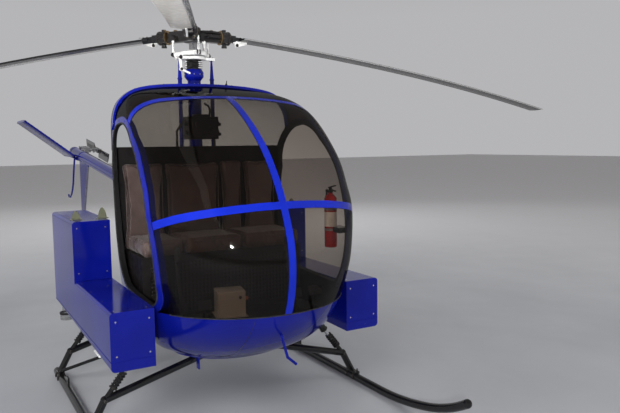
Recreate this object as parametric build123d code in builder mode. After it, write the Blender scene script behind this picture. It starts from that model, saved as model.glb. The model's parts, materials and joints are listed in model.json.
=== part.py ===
"""Light two-seat electric helicopter on skids: bubble cabin, side battery boxes, tube frame, rotors.

Frame: +X to the nose, +Y to port, +Z up, origin on the ground under the main rotor mast. Millimetres.
"""
import os
from math import atan2, cos, degrees, hypot, radians, sin, sqrt

from build123d import *

os.makedirs("parts", exist_ok=True)

# Clearances
SEAM = 0.3
TURN_GAP = 8
WIDE = 1500
TALL = 3000

# Cabin walls
GLASS = 6
SKIN = 12
FRAME_DEPTH = 34
BAND = 45
HOOP_PROUD = 5

# Plan outlines of the cabin by height:
# z, nose x, corner x, half width, rear x, half width at the rear
SECTIONS = [
    (420, 920, 560, 400, -400, 330),
    (500, 1110, 620, 520, -400, 410),
    (600, 1270, 710, 592, -400, 460),
    (720, 1375, 775, 626, -400, 485),
    (880, 1450, 850, 652, -400, 500),
    (1080, 1480, 915, 672, -400, 510),
    (1300, 1435, 935, 680, -400, 515),
    (1500, 1335, 880, 680, -400, 515),
    (1680, 1200, 790, 675, -400, 508),
    (1830, 1035, 665, 663, -400, 495),
    (1950, 860, 540, 645, -400, 475),
    (2040, 690, 410, 605, -392, 430),
    (2100, 520, 280, 540, -365, 365),
    (2140, 360, 160, 440, -310, 275),
    (2165, 160, 40, 230, -200, 190),
]
SIDE_RUN = 180
CORNER_SHARE = 0.8

# Cabin stations
BULKHEAD_X = 60
SHELF_Z = 1750
SILL_Z = 800
BOW_X = 225
TOP_BAND_X = 620
FLOOR_Z = 630

# Main rotor
HUB_Z = 2566
ROTOR_R = 4090
BLADE_CHORD = 171
LAG_R = 255
DROOP_HINGE = 3.5
DROOP_TIP = 10.5
SHAFT_R = 30
# name, azimuth of the hub arm, lag of the blade
BLADES = [("main_blade_port", 96.0, 0.0), ("main_blade_rear", 216.0, 6.1), ("main_blade_front", 336.0, 2.2)]

# Tail
BOOM_SLOPE = degrees(atan2(0.1095, 1))
BOOM_R = 62
BOOM_FRONT = (-640, 0, 1238)
TAIL_ROTOR_X = -4660
TAIL_ROTOR_Z = 1700
TAIL_ROTOR_Y = 290
TAIL_ROTOR_R = 650
TAIL_CHORD = 118
TAIL_SHAFT_R = 14

# Landing gear
SKID_Y = 945
SKID_R = 28.5
SKID_REAR = -640
SKID_FLAT = 1010
# Upturned front of each runner: x, z of the tube centre where its two arcs end
TOE_MID, TOE_TIP = (1530, 90), (1862, 227)
GEAR_X = {"front": 630, "rear": -500}

# Frame tubes and landing gear lugs
TUBE_R, BALL_R = 14, 19
LUG_Y, LUG_Z, LUG_R = 590, 560, 22

# Battery boxes: side view outline, the bottom rises to the rear
BOX_IN, BOX_OUT = 652, 905
BOX_FRONT, BOX_STEP, BOX_REAR = 1020, 25, -800
BOX_BOTTOM, BOX_BOTTOM_REAR, BOX_LOW, BOX_HIGH = 503, 545, 842, 1251
BOX_ROUND, BOX_SOFT = 24, 8


BALL_OVER = 0.5


def rod(start, end, radius):
    """round bar from start to end"""
    way = Vector(*end) - Vector(*start)
    with BuildSketch(Plane(origin=start, z_dir=way)) as end_face:
        Circle(radius)
    extrude(end_face.sketch, amount=way.length)


def pipe(points, radius):
    """bar through several points with ball corners"""
    for a, b in zip(points, points[1:]):
        rod(a, b, radius)
    for p in points[1:-1]:
        with Locations(p):
            Sphere(radius + BALL_OVER)


def normals():
    """outward direction of the nose profile at each section, as (x share, z share)"""
    out = []
    for i in range(len(SECTIONS)):
        lo, hi = SECTIONS[max(i - 1, 0)], SECTIONS[min(i + 1, len(SECTIONS) - 1)]
        dz, dx = hi[0] - lo[0], hi[1] - lo[1]
        out.append((dz / hypot(dx, dz), -dx / hypot(dx, dz)))
    return out


def plan_outline(nose, corner, half, rear, half_rear, inset):
    """closed plan outline from tangent arcs, set in by a wall"""
    run = max(corner - SIDE_RUN, rear + 0.4 * (corner - rear))
    dx, dy = run - rear, half - half_rear
    side_r = (dx * dx + dy * dy) / (2 * dy)
    rear_i = rear + inset
    side_i = side_r - inset
    turn = radians(0.5) + (run - rear_i) / side_i / 2
    y_rear = half - side_r + sqrt(side_i**2 - (run - rear_i) ** 2)
    half_turn = turn - radians(0.5)
    side_mid = (run - side_i * sin(half_turn), half - side_r + side_i * cos(half_turn))
    depth = nose - corner
    small = CORNER_SHARE * min(depth, half)
    big = (depth**2 + half**2 - 2 * half * small) / (2 * (depth - small))
    centre = (nose - big, 0)
    cx, cy = corner, half - small
    ex, ey = (cx - centre[0]) / (big - small), cy / (big - small)
    small_i, big_i = small - inset, big - inset
    tangent = (centre[0] + big_i * ex, big_i * ey)
    mid_angle = (radians(90) + atan2(ey, ex)) / 2
    corner_mid = (cx + small_i * cos(mid_angle), cy + small_i * sin(mid_angle))
    top = half - inset
    for s in (1, -1):
        ThreePointArc((rear_i, s * y_rear), (side_mid[0], s * side_mid[1]), (run, s * top))
        Line((run, s * top), (corner, s * top))
        ThreePointArc((corner, s * top), (corner_mid[0], s * corner_mid[1]), (tangent[0], s * tangent[1]))
    ThreePointArc((tangent[0], tangent[1]), (nose - inset, 0), (tangent[0], -tangent[1]))
    Line((rear_i, y_rear), (rear_i, -y_rear))


def cabin_form(wall):
    """cabin solid, set in by a wall all round"""
    outlines = []
    for row, (nx, nz) in zip(SECTIONS, normals()):
        z, nose, corner, half, rear, half_rear = row
        with BuildSketch(Plane.XY.offset(z - wall * nz)) as outline:
            with BuildLine():
                plan_outline(nose, corner, half, rear, half_rear, wall * max(nx, 0.35))
            make_face()
        outlines.append(outline.sketch)
    loft(outlines)


with BuildPart() as cabin_outer:
    cabin_form(0)
with BuildPart() as cabin_proud:
    cabin_form(-HOOP_PROUD)
with BuildPart() as cabin_in_glass:
    cabin_form(GLASS)
with BuildPart() as cabin_in_skin:
    cabin_form(SKIN)
with BuildPart() as cabin_in_frame:
    cabin_form(FRAME_DEPTH)



# Door openings: side view outline in x and z, start point then arcs (via, end) or lines (end)
DOOR_START = (400, 1895)
DOOR_PATH = [
    ((200, 1800), (140, 1590)),
    ((120, 1330), (168, 1070)),
    ((255, 925), (430, 850)),
    (None, (880, 830)),
    ((985, 865), (1030, 960)),
    ((1045, 1150), (1000, 1360)),
    ((890, 1610), (700, 1790)),
    ((560, 1880), (400, 1895)),
]
HOOP = 45


def door_outline(grow):
    """door opening in side view, grown by a border"""
    with BuildSketch(Plane.XZ) as outline:
        with BuildLine():
            here = DOOR_START
            for via, end in DOOR_PATH:
                if via is None:
                    Line(here, end)
                else:
                    ThreePointArc(here, via, end)
                here = end
        make_face()
        if grow:
            offset(amount=grow, kind=Kind.ARC)
    return outline.sketch


def side_prism(sketch):
    """side view sketch run right across the cabin"""
    extrude(sketch, amount=WIDE, both=True)


def slab(x0, x1, y0, y1, z0, z1):
    """box between limits"""
    with Locations(((x0 + x1) / 2, (y0 + y1) / 2, (z0 + z1) / 2)):
        Box(x1 - x0, y1 - y0, z1 - z0)


with BuildPart() as door_hole:
    side_prism(door_outline(0))
with BuildPart() as door_border:
    side_prism(door_outline(HOOP))
with BuildPart() as door_border_clear:
    side_prism(door_outline(HOOP + SEAM))

with BuildPart() as glass_shell:
    add(cabin_outer.part)
    add(cabin_in_glass.part, mode=Mode.SUBTRACT)
with BuildPart() as skin_shell:
    add(cabin_outer.part)
    add(cabin_in_skin.part, mode=Mode.SUBTRACT)
with BuildPart() as frame_shell:
    add(cabin_proud.part)
    add(cabin_in_frame.part, mode=Mode.SUBTRACT)

# Windshield bands: centre strip, cross band, top band
CROSS_NOSE, CROSS_SIDE = (1400, 1425), (1050, 1309)
cross_tilt = degrees(atan2(CROSS_NOSE[1] - CROSS_SIDE[1], CROSS_NOSE[0] - CROSS_SIDE[0]))
cross_mid = ((CROSS_NOSE[0] + CROSS_SIDE[0]) / 2, 0, (CROSS_NOSE[1] + CROSS_SIDE[1]) / 2)
TOP_BAND_LOW = 1700


def bands(grow):
    """region of the windshield bands, grown by a clearance"""
    reach = BAND / 2 + grow
    slab(TOP_BAND_X - reach, WIDE, -reach, reach, SILL_Z - grow, TALL)
    with Locations(Location(cross_mid, (0, -cross_tilt, 0))):
        Box(2 * WIDE, 2 * WIDE, 2 * reach)
    slab(TOP_BAND_X - reach, TOP_BAND_X + reach, -WIDE, WIDE, TOP_BAND_LOW, TALL)


with BuildPart() as windshield_zone:
    slab(TOP_BAND_X - BAND / 2, WIDE, -WIDE, WIDE, SILL_Z, TALL)
    add(door_border_clear.part, mode=Mode.SUBTRACT)
with BuildPart() as windshield_frame:
    bands(0)
    add(windshield_zone.part, mode=Mode.INTERSECT)
    add(glass_shell.part, mode=Mode.INTERSECT)
with BuildPart() as windshield_panes:
    slab(TOP_BAND_X + BAND / 2 + SEAM, WIDE, -WIDE, WIDE, SILL_Z, TALL)
    add(door_border_clear.part, mode=Mode.SUBTRACT)
    add(glass_shell.part, mode=Mode.INTERSECT)
with BuildPart() as band_clear:
    bands(SEAM)
with BuildPart() as windshield_left:
    add(windshield_panes.part)
    add(band_clear.part, mode=Mode.SUBTRACT)
    split(bisect_by=Plane.XZ, keep=Keep.BOTTOM)
with BuildPart() as windshield_right:
    add(windshield_left.part.mirror(Plane.XZ))

# Roof bow hoop, mast plate in the roof and rear glass behind the bow
BOW_HALF, BOW_PROUD = 24, 18
PLATE_HALF, PLATE_LOW, PLATE_REAR = 190, 2060, -180
MAST_R, MAST_BORE = 48, 36
ROD_Y, ROD_R = (-108, 138), 15
ROD_HOLE = ROD_R + 5
with BuildPart() as cabin_bow:
    cabin_form(-BOW_PROUD)
with BuildPart() as roof_bow:
    slab(BOW_X - BOW_HALF, BOW_X + BOW_HALF, -WIDE, WIDE, SHELF_Z, TALL)
    add(door_border_clear.part, mode=Mode.SUBTRACT)
    add(cabin_bow.part, mode=Mode.INTERSECT)
    add(cabin_in_skin.part, mode=Mode.SUBTRACT)

with BuildPart() as skylight:
    slab(BOW_X + BOW_HALF + SEAM, TOP_BAND_X - BAND / 2 - SEAM, -WIDE, WIDE, SHELF_Z, TALL)
    add(door_border_clear.part, mode=Mode.SUBTRACT)
    add(glass_shell.part, mode=Mode.INTERSECT)


def mast_plate(grow):
    """region of the roof plate that the mast passes through"""
    half = PLATE_HALF + grow
    slab(PLATE_REAR - grow, BOW_X - BOW_HALF - SEAM, -half, half, PLATE_LOW - grow, TALL)


with BuildPart() as roof_panel:
    mast_plate(0)
    add(skin_shell.part, mode=Mode.INTERSECT)
    with Locations((0, 0, 2100)):
        Cylinder(MAST_R + SEAM, 300, mode=Mode.SUBTRACT)
    with Locations((0, ROD_Y[0], 2100), (0, ROD_Y[1], 2100)):
        Cylinder(ROD_HOLE, 300, mode=Mode.SUBTRACT)
with BuildPart() as plate_clear:
    mast_plate(SEAM)
with BuildPart() as rear_window:
    slab(-WIDE, BOW_X - BOW_HALF - SEAM, -WIDE, WIDE, SHELF_Z + SEAM, TALL)
    add(door_border_clear.part, mode=Mode.SUBTRACT)
    add(glass_shell.part, mode=Mode.INTERSECT)
    add(plate_clear.part, mode=Mode.SUBTRACT)

with BuildPart() as nose_belly:
    slab(BULKHEAD_X - 10, WIDE, -WIDE, WIDE, 0, SILL_Z - SEAM)
    slab(BULKHEAD_X - 10, DOOR_START[0], -WIDE, WIDE, 0, SHELF_Z - SEAM)
    add(door_border_clear.part, mode=Mode.SUBTRACT)
    add(skin_shell.part, mode=Mode.INTERSECT)
    with Locations(Location((GEAR_X["front"], 0, LUG_Z), (90, 0, 0))):
        Cylinder(TUBE_R + 2 + SEAM, 2 * WIDE, mode=Mode.SUBTRACT)
    with Locations((GEAR_X["front"], LUG_Y, LUG_Z), (GEAR_X["front"], -LUG_Y, LUG_Z)):
        Sphere(LUG_R + SEAM, mode=Mode.SUBTRACT)

with BuildPart() as door_frame_left:
    add(door_border.part)
    add(door_hole.part, mode=Mode.SUBTRACT)
    split(bisect_by=Plane.XZ, keep=Keep.BOTTOM)
    add(frame_shell.part, mode=Mode.INTERSECT)
with BuildPart() as door_frame_right:
    add(door_frame_left.part.mirror(Plane.XZ))


with BuildPart() as shelf_rim:
    slab(-WIDE, BULKHEAD_X - 10 - SEAM, -WIDE, WIDE, SHELF_Z - 20, SHELF_Z)
    add(cabin_outer.part, mode=Mode.INTERSECT)
with BuildPart() as bulkhead:
    slab(BULKHEAD_X - 10, BULKHEAD_X, -WIDE, WIDE, FLOOR_Z - 100, SHELF_Z)
    slab(-WIDE, BULKHEAD_X, -WIDE, WIDE, SHELF_Z - 20, SHELF_Z)
    add(cabin_in_skin.part, mode=Mode.INTERSECT)
    add(shelf_rim.part)
    with Locations((0, 0, SHELF_Z)):
        Cylinder(MAST_R + SEAM, 100, mode=Mode.SUBTRACT)
    with Locations((0, ROD_Y[0], SHELF_Z), (0, ROD_Y[1], SHELF_Z)):
        Cylinder(ROD_HOLE, 100, mode=Mode.SUBTRACT)

with BuildPart() as cabin_floor:
    slab(BULKHEAD_X + SEAM, WIDE, -WIDE, WIDE, FLOOR_Z - 20, FLOOR_Z)
    add(cabin_in_skin.part, mode=Mode.INTERSECT)

# Bench seat: base box, three cushions and three backs
SEAT_FRONT, SEAT_BACK = 520, 150
SEAT_TOP, CUSHION_H, CUSHION_OVER = 1045, 105, 30
BACK_T, BACK_TOP = 80, 1640
# name, y centre, width
CUSHIONS = [("right", -435, 290), ("centre", -78, 415), ("left", 355, 440)]
BACKS = [("right", -435, 290), ("centre", -78, 415), ("inner", 220, 165), ("left", 450, 260)]
with BuildPart() as seat_base:
    slab(BULKHEAD_X + SEAM, SEAT_FRONT, -575, 575, FLOOR_Z + SEAM, SEAT_TOP)
    add(cabin_in_frame.part, mode=Mode.INTERSECT)
with BuildPart() as seat_cushions:
    for place, y, width in CUSHIONS:
        front, rear = SEAT_FRONT + CUSHION_OVER, SEAT_BACK
        with Locations(((front + rear) / 2, y, SEAT_TOP + SEAM + CUSHION_H / 2)):
            Box(front - rear, width - 10, CUSHION_H)
    fillet(seat_cushions.edges().filter_by(Axis.Y).group_by(Axis.X)[-1], 40)
with BuildPart() as seat_backs:
    for place, y, width in BACKS:
        slab(SEAT_BACK - SEAM - BACK_T, SEAT_BACK - SEAM, y - width / 2 + 5, y + width / 2 - 5, SEAT_TOP + SEAM, BACK_TOP)

# Console box on the floor, turned towards the right seat
CONSOLE_AT, CONSOLE_SIZE, CONSOLE_YAW = (640, -30), (170, 180, 165), -12
with BuildPart() as console:
    with Locations(Location((CONSOLE_AT[0], CONSOLE_AT[1], FLOOR_Z + SEAM), (0, 0, CONSOLE_YAW))):
        Box(*CONSOLE_SIZE, align=(Align.CENTER, Align.CENTER, Align.MIN))
        Box(CONSOLE_SIZE[0] + 30, CONSOLE_SIZE[1] + 30, 4, align=(Align.CENTER, Align.CENTER, Align.MIN))

with BuildPart() as cyclic_sticks:
    for y in (-390, 390):
        pipe([(760, y, FLOOR_Z + SEAM), (760, y, 670), (690, y, 860), (650, y, 1010), (665, y, 1110)], 12)
PEDAL_X, PEDAL_Y, PEDAL_APART = 895, 390, 75
with BuildPart() as pedals:
    for y in (-PEDAL_Y, PEDAL_Y):
        rod((PEDAL_X, y - 120, FLOOR_Z + 20), (PEDAL_X, y + 120, FLOOR_Z + 20), 10)
        for side in (-1, 1):
            at = y + side * PEDAL_APART
            rod((PEDAL_X, at, FLOOR_Z + 20), (PEDAL_X + 30, at, FLOOR_Z + 150), 9)
            with Locations(Location((PEDAL_X + 30, at, FLOOR_Z + 160), (0, -20, 0))):
                Box(12, 90, 60)
        for end in (-112, 112):
            slab(PEDAL_X - 15, PEDAL_X + 15, y + end - 10, y + end + 10, FLOOR_Z + SEAM, FLOOR_Z + 24)

# Mast: fixed tube with a flared top, drive shaft inside
MAST_LOW = 1560
MAST_TOP = 2306
FLARE_R = 70
with BuildPart() as mast_tube:
    with BuildSketch(Plane.XZ):
        with BuildLine():
            Polyline(
                (MAST_BORE, MAST_LOW), (MAST_R, MAST_LOW), (MAST_R, 2225), (FLARE_R, 2252),
                (FLARE_R, 2286), (FLARE_R - 12, MAST_TOP), (MAST_BORE, MAST_TOP), (MAST_BORE, MAST_LOW),
            )
        make_face()
    revolve(axis=Axis.Z)

SWASH_LOW, SWASH_T, SWASH_GAP, SWASH_R = 2376, 20, 8, 86
SCISSOR_X = 46
with BuildPart() as swashplate_fixed:
    with Locations((0, 0, SWASH_LOW)):
        Cylinder(SWASH_R, SWASH_T, align=(Align.CENTER, Align.CENTER, Align.MIN))
    slab(-18, 18, ROD_Y[0] - 22, ROD_Y[1] + 22, SWASH_LOW, SWASH_LOW + SWASH_T)
    slab(SCISSOR_X - 14, SCISSOR_X + 14, -128, 0, SWASH_LOW, SWASH_LOW + SWASH_T)
    rod((SCISSOR_X, -116, SWASH_LOW + 4), (SCISSOR_X, -112, 2302), 10)
    rod((SCISSOR_X, -112, 2302), (SCISSOR_X, -40, 2272), 8)
    with Locations((SCISSOR_X, -112, 2302)):
        Sphere(14)
    with Locations((0, 0, MAST_TOP)):
        Cylinder(MAST_BORE + 6, 300, mode=Mode.SUBTRACT)
    with Locations((0, 0, MAST_TOP - 100)):
        Cylinder(FLARE_R + SEAM, 200, mode=Mode.SUBTRACT)

# Rubber boot between mast and swashplate: radii of its folds from the bottom up
BOOT_RADII = (58, 47, 58, 47, 58, 47, 58)
BOOT_LOW, BOOT_TOP = MAST_TOP + SEAM, SWASH_LOW - SEAM
with BuildPart() as mast_boot:
    with BuildSketch(Plane.XZ):
        with BuildLine():
            step = (BOOT_TOP - BOOT_LOW) / (len(BOOT_RADII) - 1)
            folds = [(r, BOOT_LOW + i * step) for i, r in enumerate(BOOT_RADII)]
            Polyline((MAST_BORE + 2, BOOT_LOW), *folds, (MAST_BORE + 2, BOOT_TOP), (MAST_BORE + 2, BOOT_LOW))
        make_face()
    revolve(axis=Axis.Z)
with BuildPart() as control_rods:
    for y in ROD_Y:
        rod((0, y, 1620), (0, y, 2240), ROD_R)
        with Locations((0, y, 2240)):
            Cone(ROD_R, 6, SWASH_LOW - SEAM - 2240, align=(Align.CENTER, Align.CENTER, Align.MIN))

# Transmission and electric drive behind the bulkhead
with BuildPart() as transmission:
    slab(-300, 40, -140, 140, 1290, MAST_LOW - SEAM)
with BuildPart() as electric_motor:
    rod((-60, 0, 850), (-360, 0, 850), 190)
PULLEY_X, PULLEY_W = -420, 70
UPPER_R, LOWER_R = 145, 90
with BuildPart() as belt_drive:
    rod((PULLEY_X - PULLEY_W / 2, 0, 850), (PULLEY_X + PULLEY_W / 2, 0, 850), LOWER_R)
    rod((PULLEY_X - PULLEY_W / 2, 0, 1360), (PULLEY_X + PULLEY_W / 2, 0, 1360), UPPER_R)
    with BuildSketch(Plane.YZ.offset(PULLEY_X - PULLEY_W / 2 + 5)):
        with BuildLine():
            Polyline((-LOWER_R, 850), (LOWER_R, 850), (UPPER_R, 1360), (-UPPER_R, 1360), (-LOWER_R, 850))
        make_face()
    extrude(amount=PULLEY_W - 10)
    rod((PULLEY_X, 0, 850), (-360 - SEAM, 0, 850), 30)
    rod((PULLEY_X, 0, 1360), (-300 - SEAM, 0, 1360), 30)

# Tube frame behind the cabin: name, x, y, z of the left-hand nodes
FRAME_X = BULKHEAD_X - 10 - BALL_R - SEAM
NODES = {
    "low_front": (FRAME_X, 300, 560),
    "low_rear": (-700, 240, 620),
    "mid_front": (FRAME_X, 300, 1150),
    "top_front": (FRAME_X, 290, 1690),
    "top_rear": (-640, 140, 1238),
}
LINKS = [("low_front", "low_rear"), ("low_front", "mid_front"), ("mid_front", "top_front"),
         ("top_front", "top_rear"), ("low_rear", "top_rear"), ("mid_front", "low_rear"),
         ("mid_front", "top_rear")]
CROSS_TUBES = ("low_front", "low_rear", "mid_front", "top_rear")
OUTRIGGERS = (-100, -500)


def port(p, side):
    """point on one side of the frame"""
    return (p[0], side * p[1], p[2])


def low_rail(x):
    """y and z of the lower frame tube at a station"""
    a, b = NODES["low_front"], NODES["low_rear"]
    share = (x - a[0]) / (b[0] - a[0])
    return a[1] + share * (b[1] - a[1]), a[2] + share * (b[2] - a[2])


with BuildPart() as centre_frame:
    for name in CROSS_TUBES:
        rod(port(NODES[name], -1), port(NODES[name], 1), TUBE_R)
    for side in (-1, 1):
        for a, b in LINKS:
            rod(port(NODES[a], side), port(NODES[b], side), TUBE_R)
        for p in NODES.values():
            with Locations(port(p, side)):
                Sphere(BALL_R)
    for x in OUTRIGGERS:
        y, z = low_rail(x)
        rod((x, -y, z), (x, y, z), TUBE_R)
        for side in (-1, 1):
            rod((x, side * y, z), (x, side * LUG_Y, LUG_Z), TUBE_R)
            rod((x, side * LUG_Y, LUG_Z), (x, side * (BOX_IN - SEAM), LUG_Z), TUBE_R + 1)
            with Locations((x, side * LUG_Y, LUG_Z)):
                Sphere(LUG_R)
            with Locations((x, side * y, z)):
                Sphere(BALL_R)
    slab(-340, -80, -120, 120, 555, 659.7)
    slab(-300, FRAME_X, -299, 299, 1270, 1289.7)

# Battery boxes on both sides
def box_bottom(x):
    """height of the battery box bottom at a station"""
    return BOX_BOTTOM + (BOX_FRONT - x) / (BOX_FRONT - BOX_REAR) * (BOX_BOTTOM_REAR - BOX_BOTTOM)


with BuildPart() as battery_box_left:
    with BuildSketch(Plane.XZ.offset(-BOX_IN)) as box_side:
        with BuildLine():
            Polyline(
                (BOX_REAR, BOX_BOTTOM_REAR), (BOX_FRONT, BOX_BOTTOM), (BOX_FRONT, BOX_LOW), (BOX_STEP, BOX_LOW),
                (BOX_STEP, BOX_HIGH), (BOX_REAR, BOX_HIGH), (BOX_REAR, BOX_BOTTOM_REAR),
            )
        make_face()
    extrude(box_side.sketch, amount=-(BOX_OUT - BOX_IN))
    long_edges = battery_box_left.edges().filter_by(lambda e: abs(e.tangent_at(0.5).X) > 0.9)
    fillet(long_edges.group_by(Axis.Y)[-1], BOX_ROUND)
with BuildPart() as battery_box_right:
    add(battery_box_left.part.mirror(Plane.XZ))

# Tail boom, rising to the rear
BOOM_END_X = -4730


def boom_z(x):
    """height of the boom centreline"""
    return BOOM_FRONT[2] - (x - BOOM_FRONT[0]) * 0.1095


with BuildPart() as tail_boom:
    rod((BOOM_FRONT[0] - TUBE_R - SEAM, 0, boom_z(BOOM_FRONT[0] - TUBE_R)), (BOOM_END_X, 0, boom_z(BOOM_END_X)), BOOM_R)
with BuildPart() as tail_gearbox:
    slab(-4730, -4590, BOOM_R + SEAM, BOOM_R + 100, TAIL_ROTOR_Z - 55, TAIL_ROTOR_Z + 55)
    with Locations(Location((TAIL_ROTOR_X, BOOM_R + 100, TAIL_ROTOR_Z), (-90, 0, 0))):
        Cylinder(30, 40, align=(Align.CENTER, Align.CENTER, Align.MIN))
    with Locations(Location((TAIL_ROTOR_X, BOOM_R + 60, TAIL_ROTOR_Z), (-90, 0, 0))):
        Cylinder(TAIL_SHAFT_R + 6, 200, align=(Align.CENTER, Align.CENTER, Align.MIN), mode=Mode.SUBTRACT)
with BuildPart() as boom_struts:
    for side in (-1, 1):
        low = Vector(*port(NODES["low_rear"], side))
        high = Vector(-2300, side * 30, boom_z(-2300) - BOOM_R - 14)
        low = low + (high - low).normalized() * (BALL_R + 2 * SEAM)
        rod(tuple(low), tuple(high), TUBE_R)
    slab(-2340, -2260, -60, 60, boom_z(-2300) - BOOM_R - 30, boom_z(-2300) - BOOM_R - 5)

# Tail surfaces
FIN_T = 16


def boom_under(x):
    """height just under the boom"""
    return boom_z(x) - BOOM_R / cos(radians(BOOM_SLOPE)) - SEAM


with BuildPart() as fin:
    with BuildSketch(Plane.XZ.offset(-FIN_T / 2)):
        with BuildLine():
            Polyline((-3830, boom_under(-3830)), (-4360, boom_under(-4360)), (-4360, 900),
                     (-4200, 880), (-3830, boom_under(-3830)))
        make_face()
    extrude(amount=FIN_T)
STAB_X, STAB_CANT, STAB_CHORD, STAB_SPAN, STAB_T, STAB_IN = -4430, 37.5, 460, 820, 45, 20
with BuildPart() as stabiliser:
    tilt = Location((STAB_X, 0, boom_z(STAB_X)), (0, BOOM_SLOPE, 0)) * Location((0, 0, 0), (-STAB_CANT, 0, 0))
    with Locations(tilt):
        with Locations((0, STAB_IN - STAB_SPAN / 2, -BOOM_R - SEAM - STAB_T / 2)):
            Box(STAB_CHORD, STAB_SPAN, STAB_T)
    fillet(stabiliser.edges().group_by(Edge.length)[-1], STAB_T * 0.4)
GUARD = [(-4748, 1566), (-4836, 1405), (-4911, 1243), (-4985, 1150), (-5066, 1085), (-5170, 1035), (-5260, 1028),
         (-5300, 1060)]
GUARD_X = -4716
with BuildPart() as tail_guard:
    top = boom_under(GUARD_X) - 1.4
    pipe([(GUARD_X, 0, top), (GUARD_X, 0, top - 15)] + [(x, 0, z) for x, z in GUARD], 12)

# Landing gear
JOINT_Y, JOINT_Z, JOINT_R = SKID_Y - 78, 210, 26
SADDLE_TOP = 2 * SKID_R + 14
STRUT_R = 24
PAD_HALF = 30
LUG_REACH = 82
DAMPER_LOW_R = 15


def damper_way(x, side):
    """line of a damper: its low joint and its direction"""
    low = Vector(x, side * JOINT_Y, JOINT_Z)
    return low, (Vector(x, side * LUG_Y, LUG_Z) - low).normalized()


with BuildPart() as gear_struts:
    for place, x in GEAR_X.items():
        rod((x, -200, 392), (x, 200, 392), STRUT_R)
        for side in (-1, 1):
            rod((x, side * 200, 392), (x, side * JOINT_Y, JOINT_Z), STRUT_R)
            rod((x, side * JOINT_Y, JOINT_Z), (x, side * SKID_Y, SADDLE_TOP - 6), STRUT_R)
            slab(x - 45, x + 80, side * SKID_Y - 20, side * SKID_Y + 20, 2 * SKID_R + SEAM, SADDLE_TOP)
            with Locations((x, side * JOINT_Y, JOINT_Z)):
                Sphere(JOINT_R)
            with Locations((x, side * 200, 392)):
                Sphere(STRUT_R + 2)
            low, way = damper_way(x, side)
            rod(tuple(low), tuple(low + way * LUG_REACH), DAMPER_LOW_R)
    front, rear = GEAR_X["front"], GEAR_X["rear"]
    slab(front - PAD_HALF, front + PAD_HALF, -200, 200, 380, SECTIONS[0][0] - SEAM)
    slab(rear - PAD_HALF, rear + PAD_HALF, -150, 150, 380, low_rail(rear)[1] - TUBE_R - SEAM)
with BuildPart() as front_beam:
    rod((GEAR_X["front"], -LUG_Y, LUG_Z), (GEAR_X["front"], LUG_Y, LUG_Z), TUBE_R + 2)
    for side in (-1, 1):
        with Locations((GEAR_X["front"], side * LUG_Y, LUG_Z)):
            Sphere(LUG_R)

# Dampers: start and end share of the length, radius
DAMPER_STEPS = [(0.0, 0.34, 21), (0.34, 0.50, 12), (0.50, 0.77, 26), (0.77, 1.0, 14)]
with BuildPart() as dampers:
    for x in GEAR_X.values():
        for side in (-1, 1):
            low, way = damper_way(x, side)
            high = Vector(x, side * LUG_Y, LUG_Z)
            tube = TUBE_R + 1 if x < 0 else 0
            rise = sin(radians(way.get_angle(Vector(0, -side, 0))))
            end_r = DAMPER_STEPS[-1][2]
            high = high - way * max(LUG_R + SEAM, (tube + end_r + SEAM) / rise)
            low = low + way * (LUG_REACH + SEAM)
            for start, stop, radius in DAMPER_STEPS:
                a, b = low + (high - low) * start, low + (high - low) * stop
                rod(tuple(a), tuple(b), radius)
BRACE_R, BRACE_BALL = 12, 15
with BuildPart() as drag_braces:
    for side in (-1, 1):
        low = (GEAR_X["rear"] + 60, side * SKID_Y, SADDLE_TOP + SEAM + BRACE_BALL)
        high = (100, side * 320, SECTIONS[0][0] - SEAM - BRACE_BALL)
        rod(low, high, BRACE_R)
        for p in (low, high):
            with Locations(p):
                Sphere(BRACE_BALL)


# Lug on each runner that takes the ground handling wheel
WHEEL_X, WHEEL_Z, WHEEL_T, WHEEL_BORE = -180, 92, 12, 10


def skid(side):
    """runner tube with an upturned front"""
    y = side * SKID_Y
    with BuildLine() as way:
        flat = Line((SKID_REAR, y, SKID_R), (SKID_FLAT, y, SKID_R))
        bend = TangentArc(flat @ 1, (TOE_MID[0], y, TOE_MID[1]), tangent=flat % 1)
        TangentArc(bend @ 1, (TOE_TIP[0], y, TOE_TIP[1]), tangent=bend % 1)
    with BuildSketch(Plane(origin=flat @ 0, z_dir=flat % 0)) as ring:
        Circle(SKID_R)
    sweep(ring.sketch, path=way.line)
    with Locations((TOE_TIP[0], y, TOE_TIP[1])):
        Sphere(SKID_R + BALL_OVER)
    slab(WHEEL_X - 30, WHEEL_X + 30, y - WHEEL_T / 2, y + WHEEL_T / 2, SKID_R, WHEEL_Z + 28)
    with Locations((WHEEL_X, y, WHEEL_Z)):
        Cylinder(WHEEL_BORE, 4 * WHEEL_T, rotation=(90, 0, 0), mode=Mode.SUBTRACT)


with BuildPart() as skid_right:
    skid(-1)
with BuildPart() as skid_left:
    skid(1)

# Small fittings
with BuildPart() as pitot_tube:
    pipe([(1300, 0, 700), (1400, 0, 545), (1500, 0, 535)], 8)
    add(cabin_outer.part, mode=Mode.SUBTRACT)
with BuildPart() as belly_antenna:
    slab(700, 740, -296, -288, 330, SECTIONS[0][0] - SEAM)
LAMPS = [(-570, -868)]
with BuildPart() as landing_light:
    for x, y in LAMPS:
        slope = degrees(atan2(BOX_BOTTOM_REAR - BOX_BOTTOM, BOX_FRONT - BOX_REAR))
        with Locations(Location((x, y, box_bottom(x) - SEAM), (0, slope, 0))):
            Cylinder(30, 40, align=(Align.CENTER, Align.CENTER, Align.MAX))
            with Locations((0, 0, -40)):
                Cylinder(46, 55, align=(Align.CENTER, Align.CENTER, Align.MAX))
EQUIP_SIZE = (130, 220, 160)
with BuildPart() as overhead_box:
    slab(70, 70 + EQUIP_SIZE[0], -120, 100, 1800, 1960)
    slab(MAST_R + SEAM, 71, -30, 30, 1820, 1940)
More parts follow.
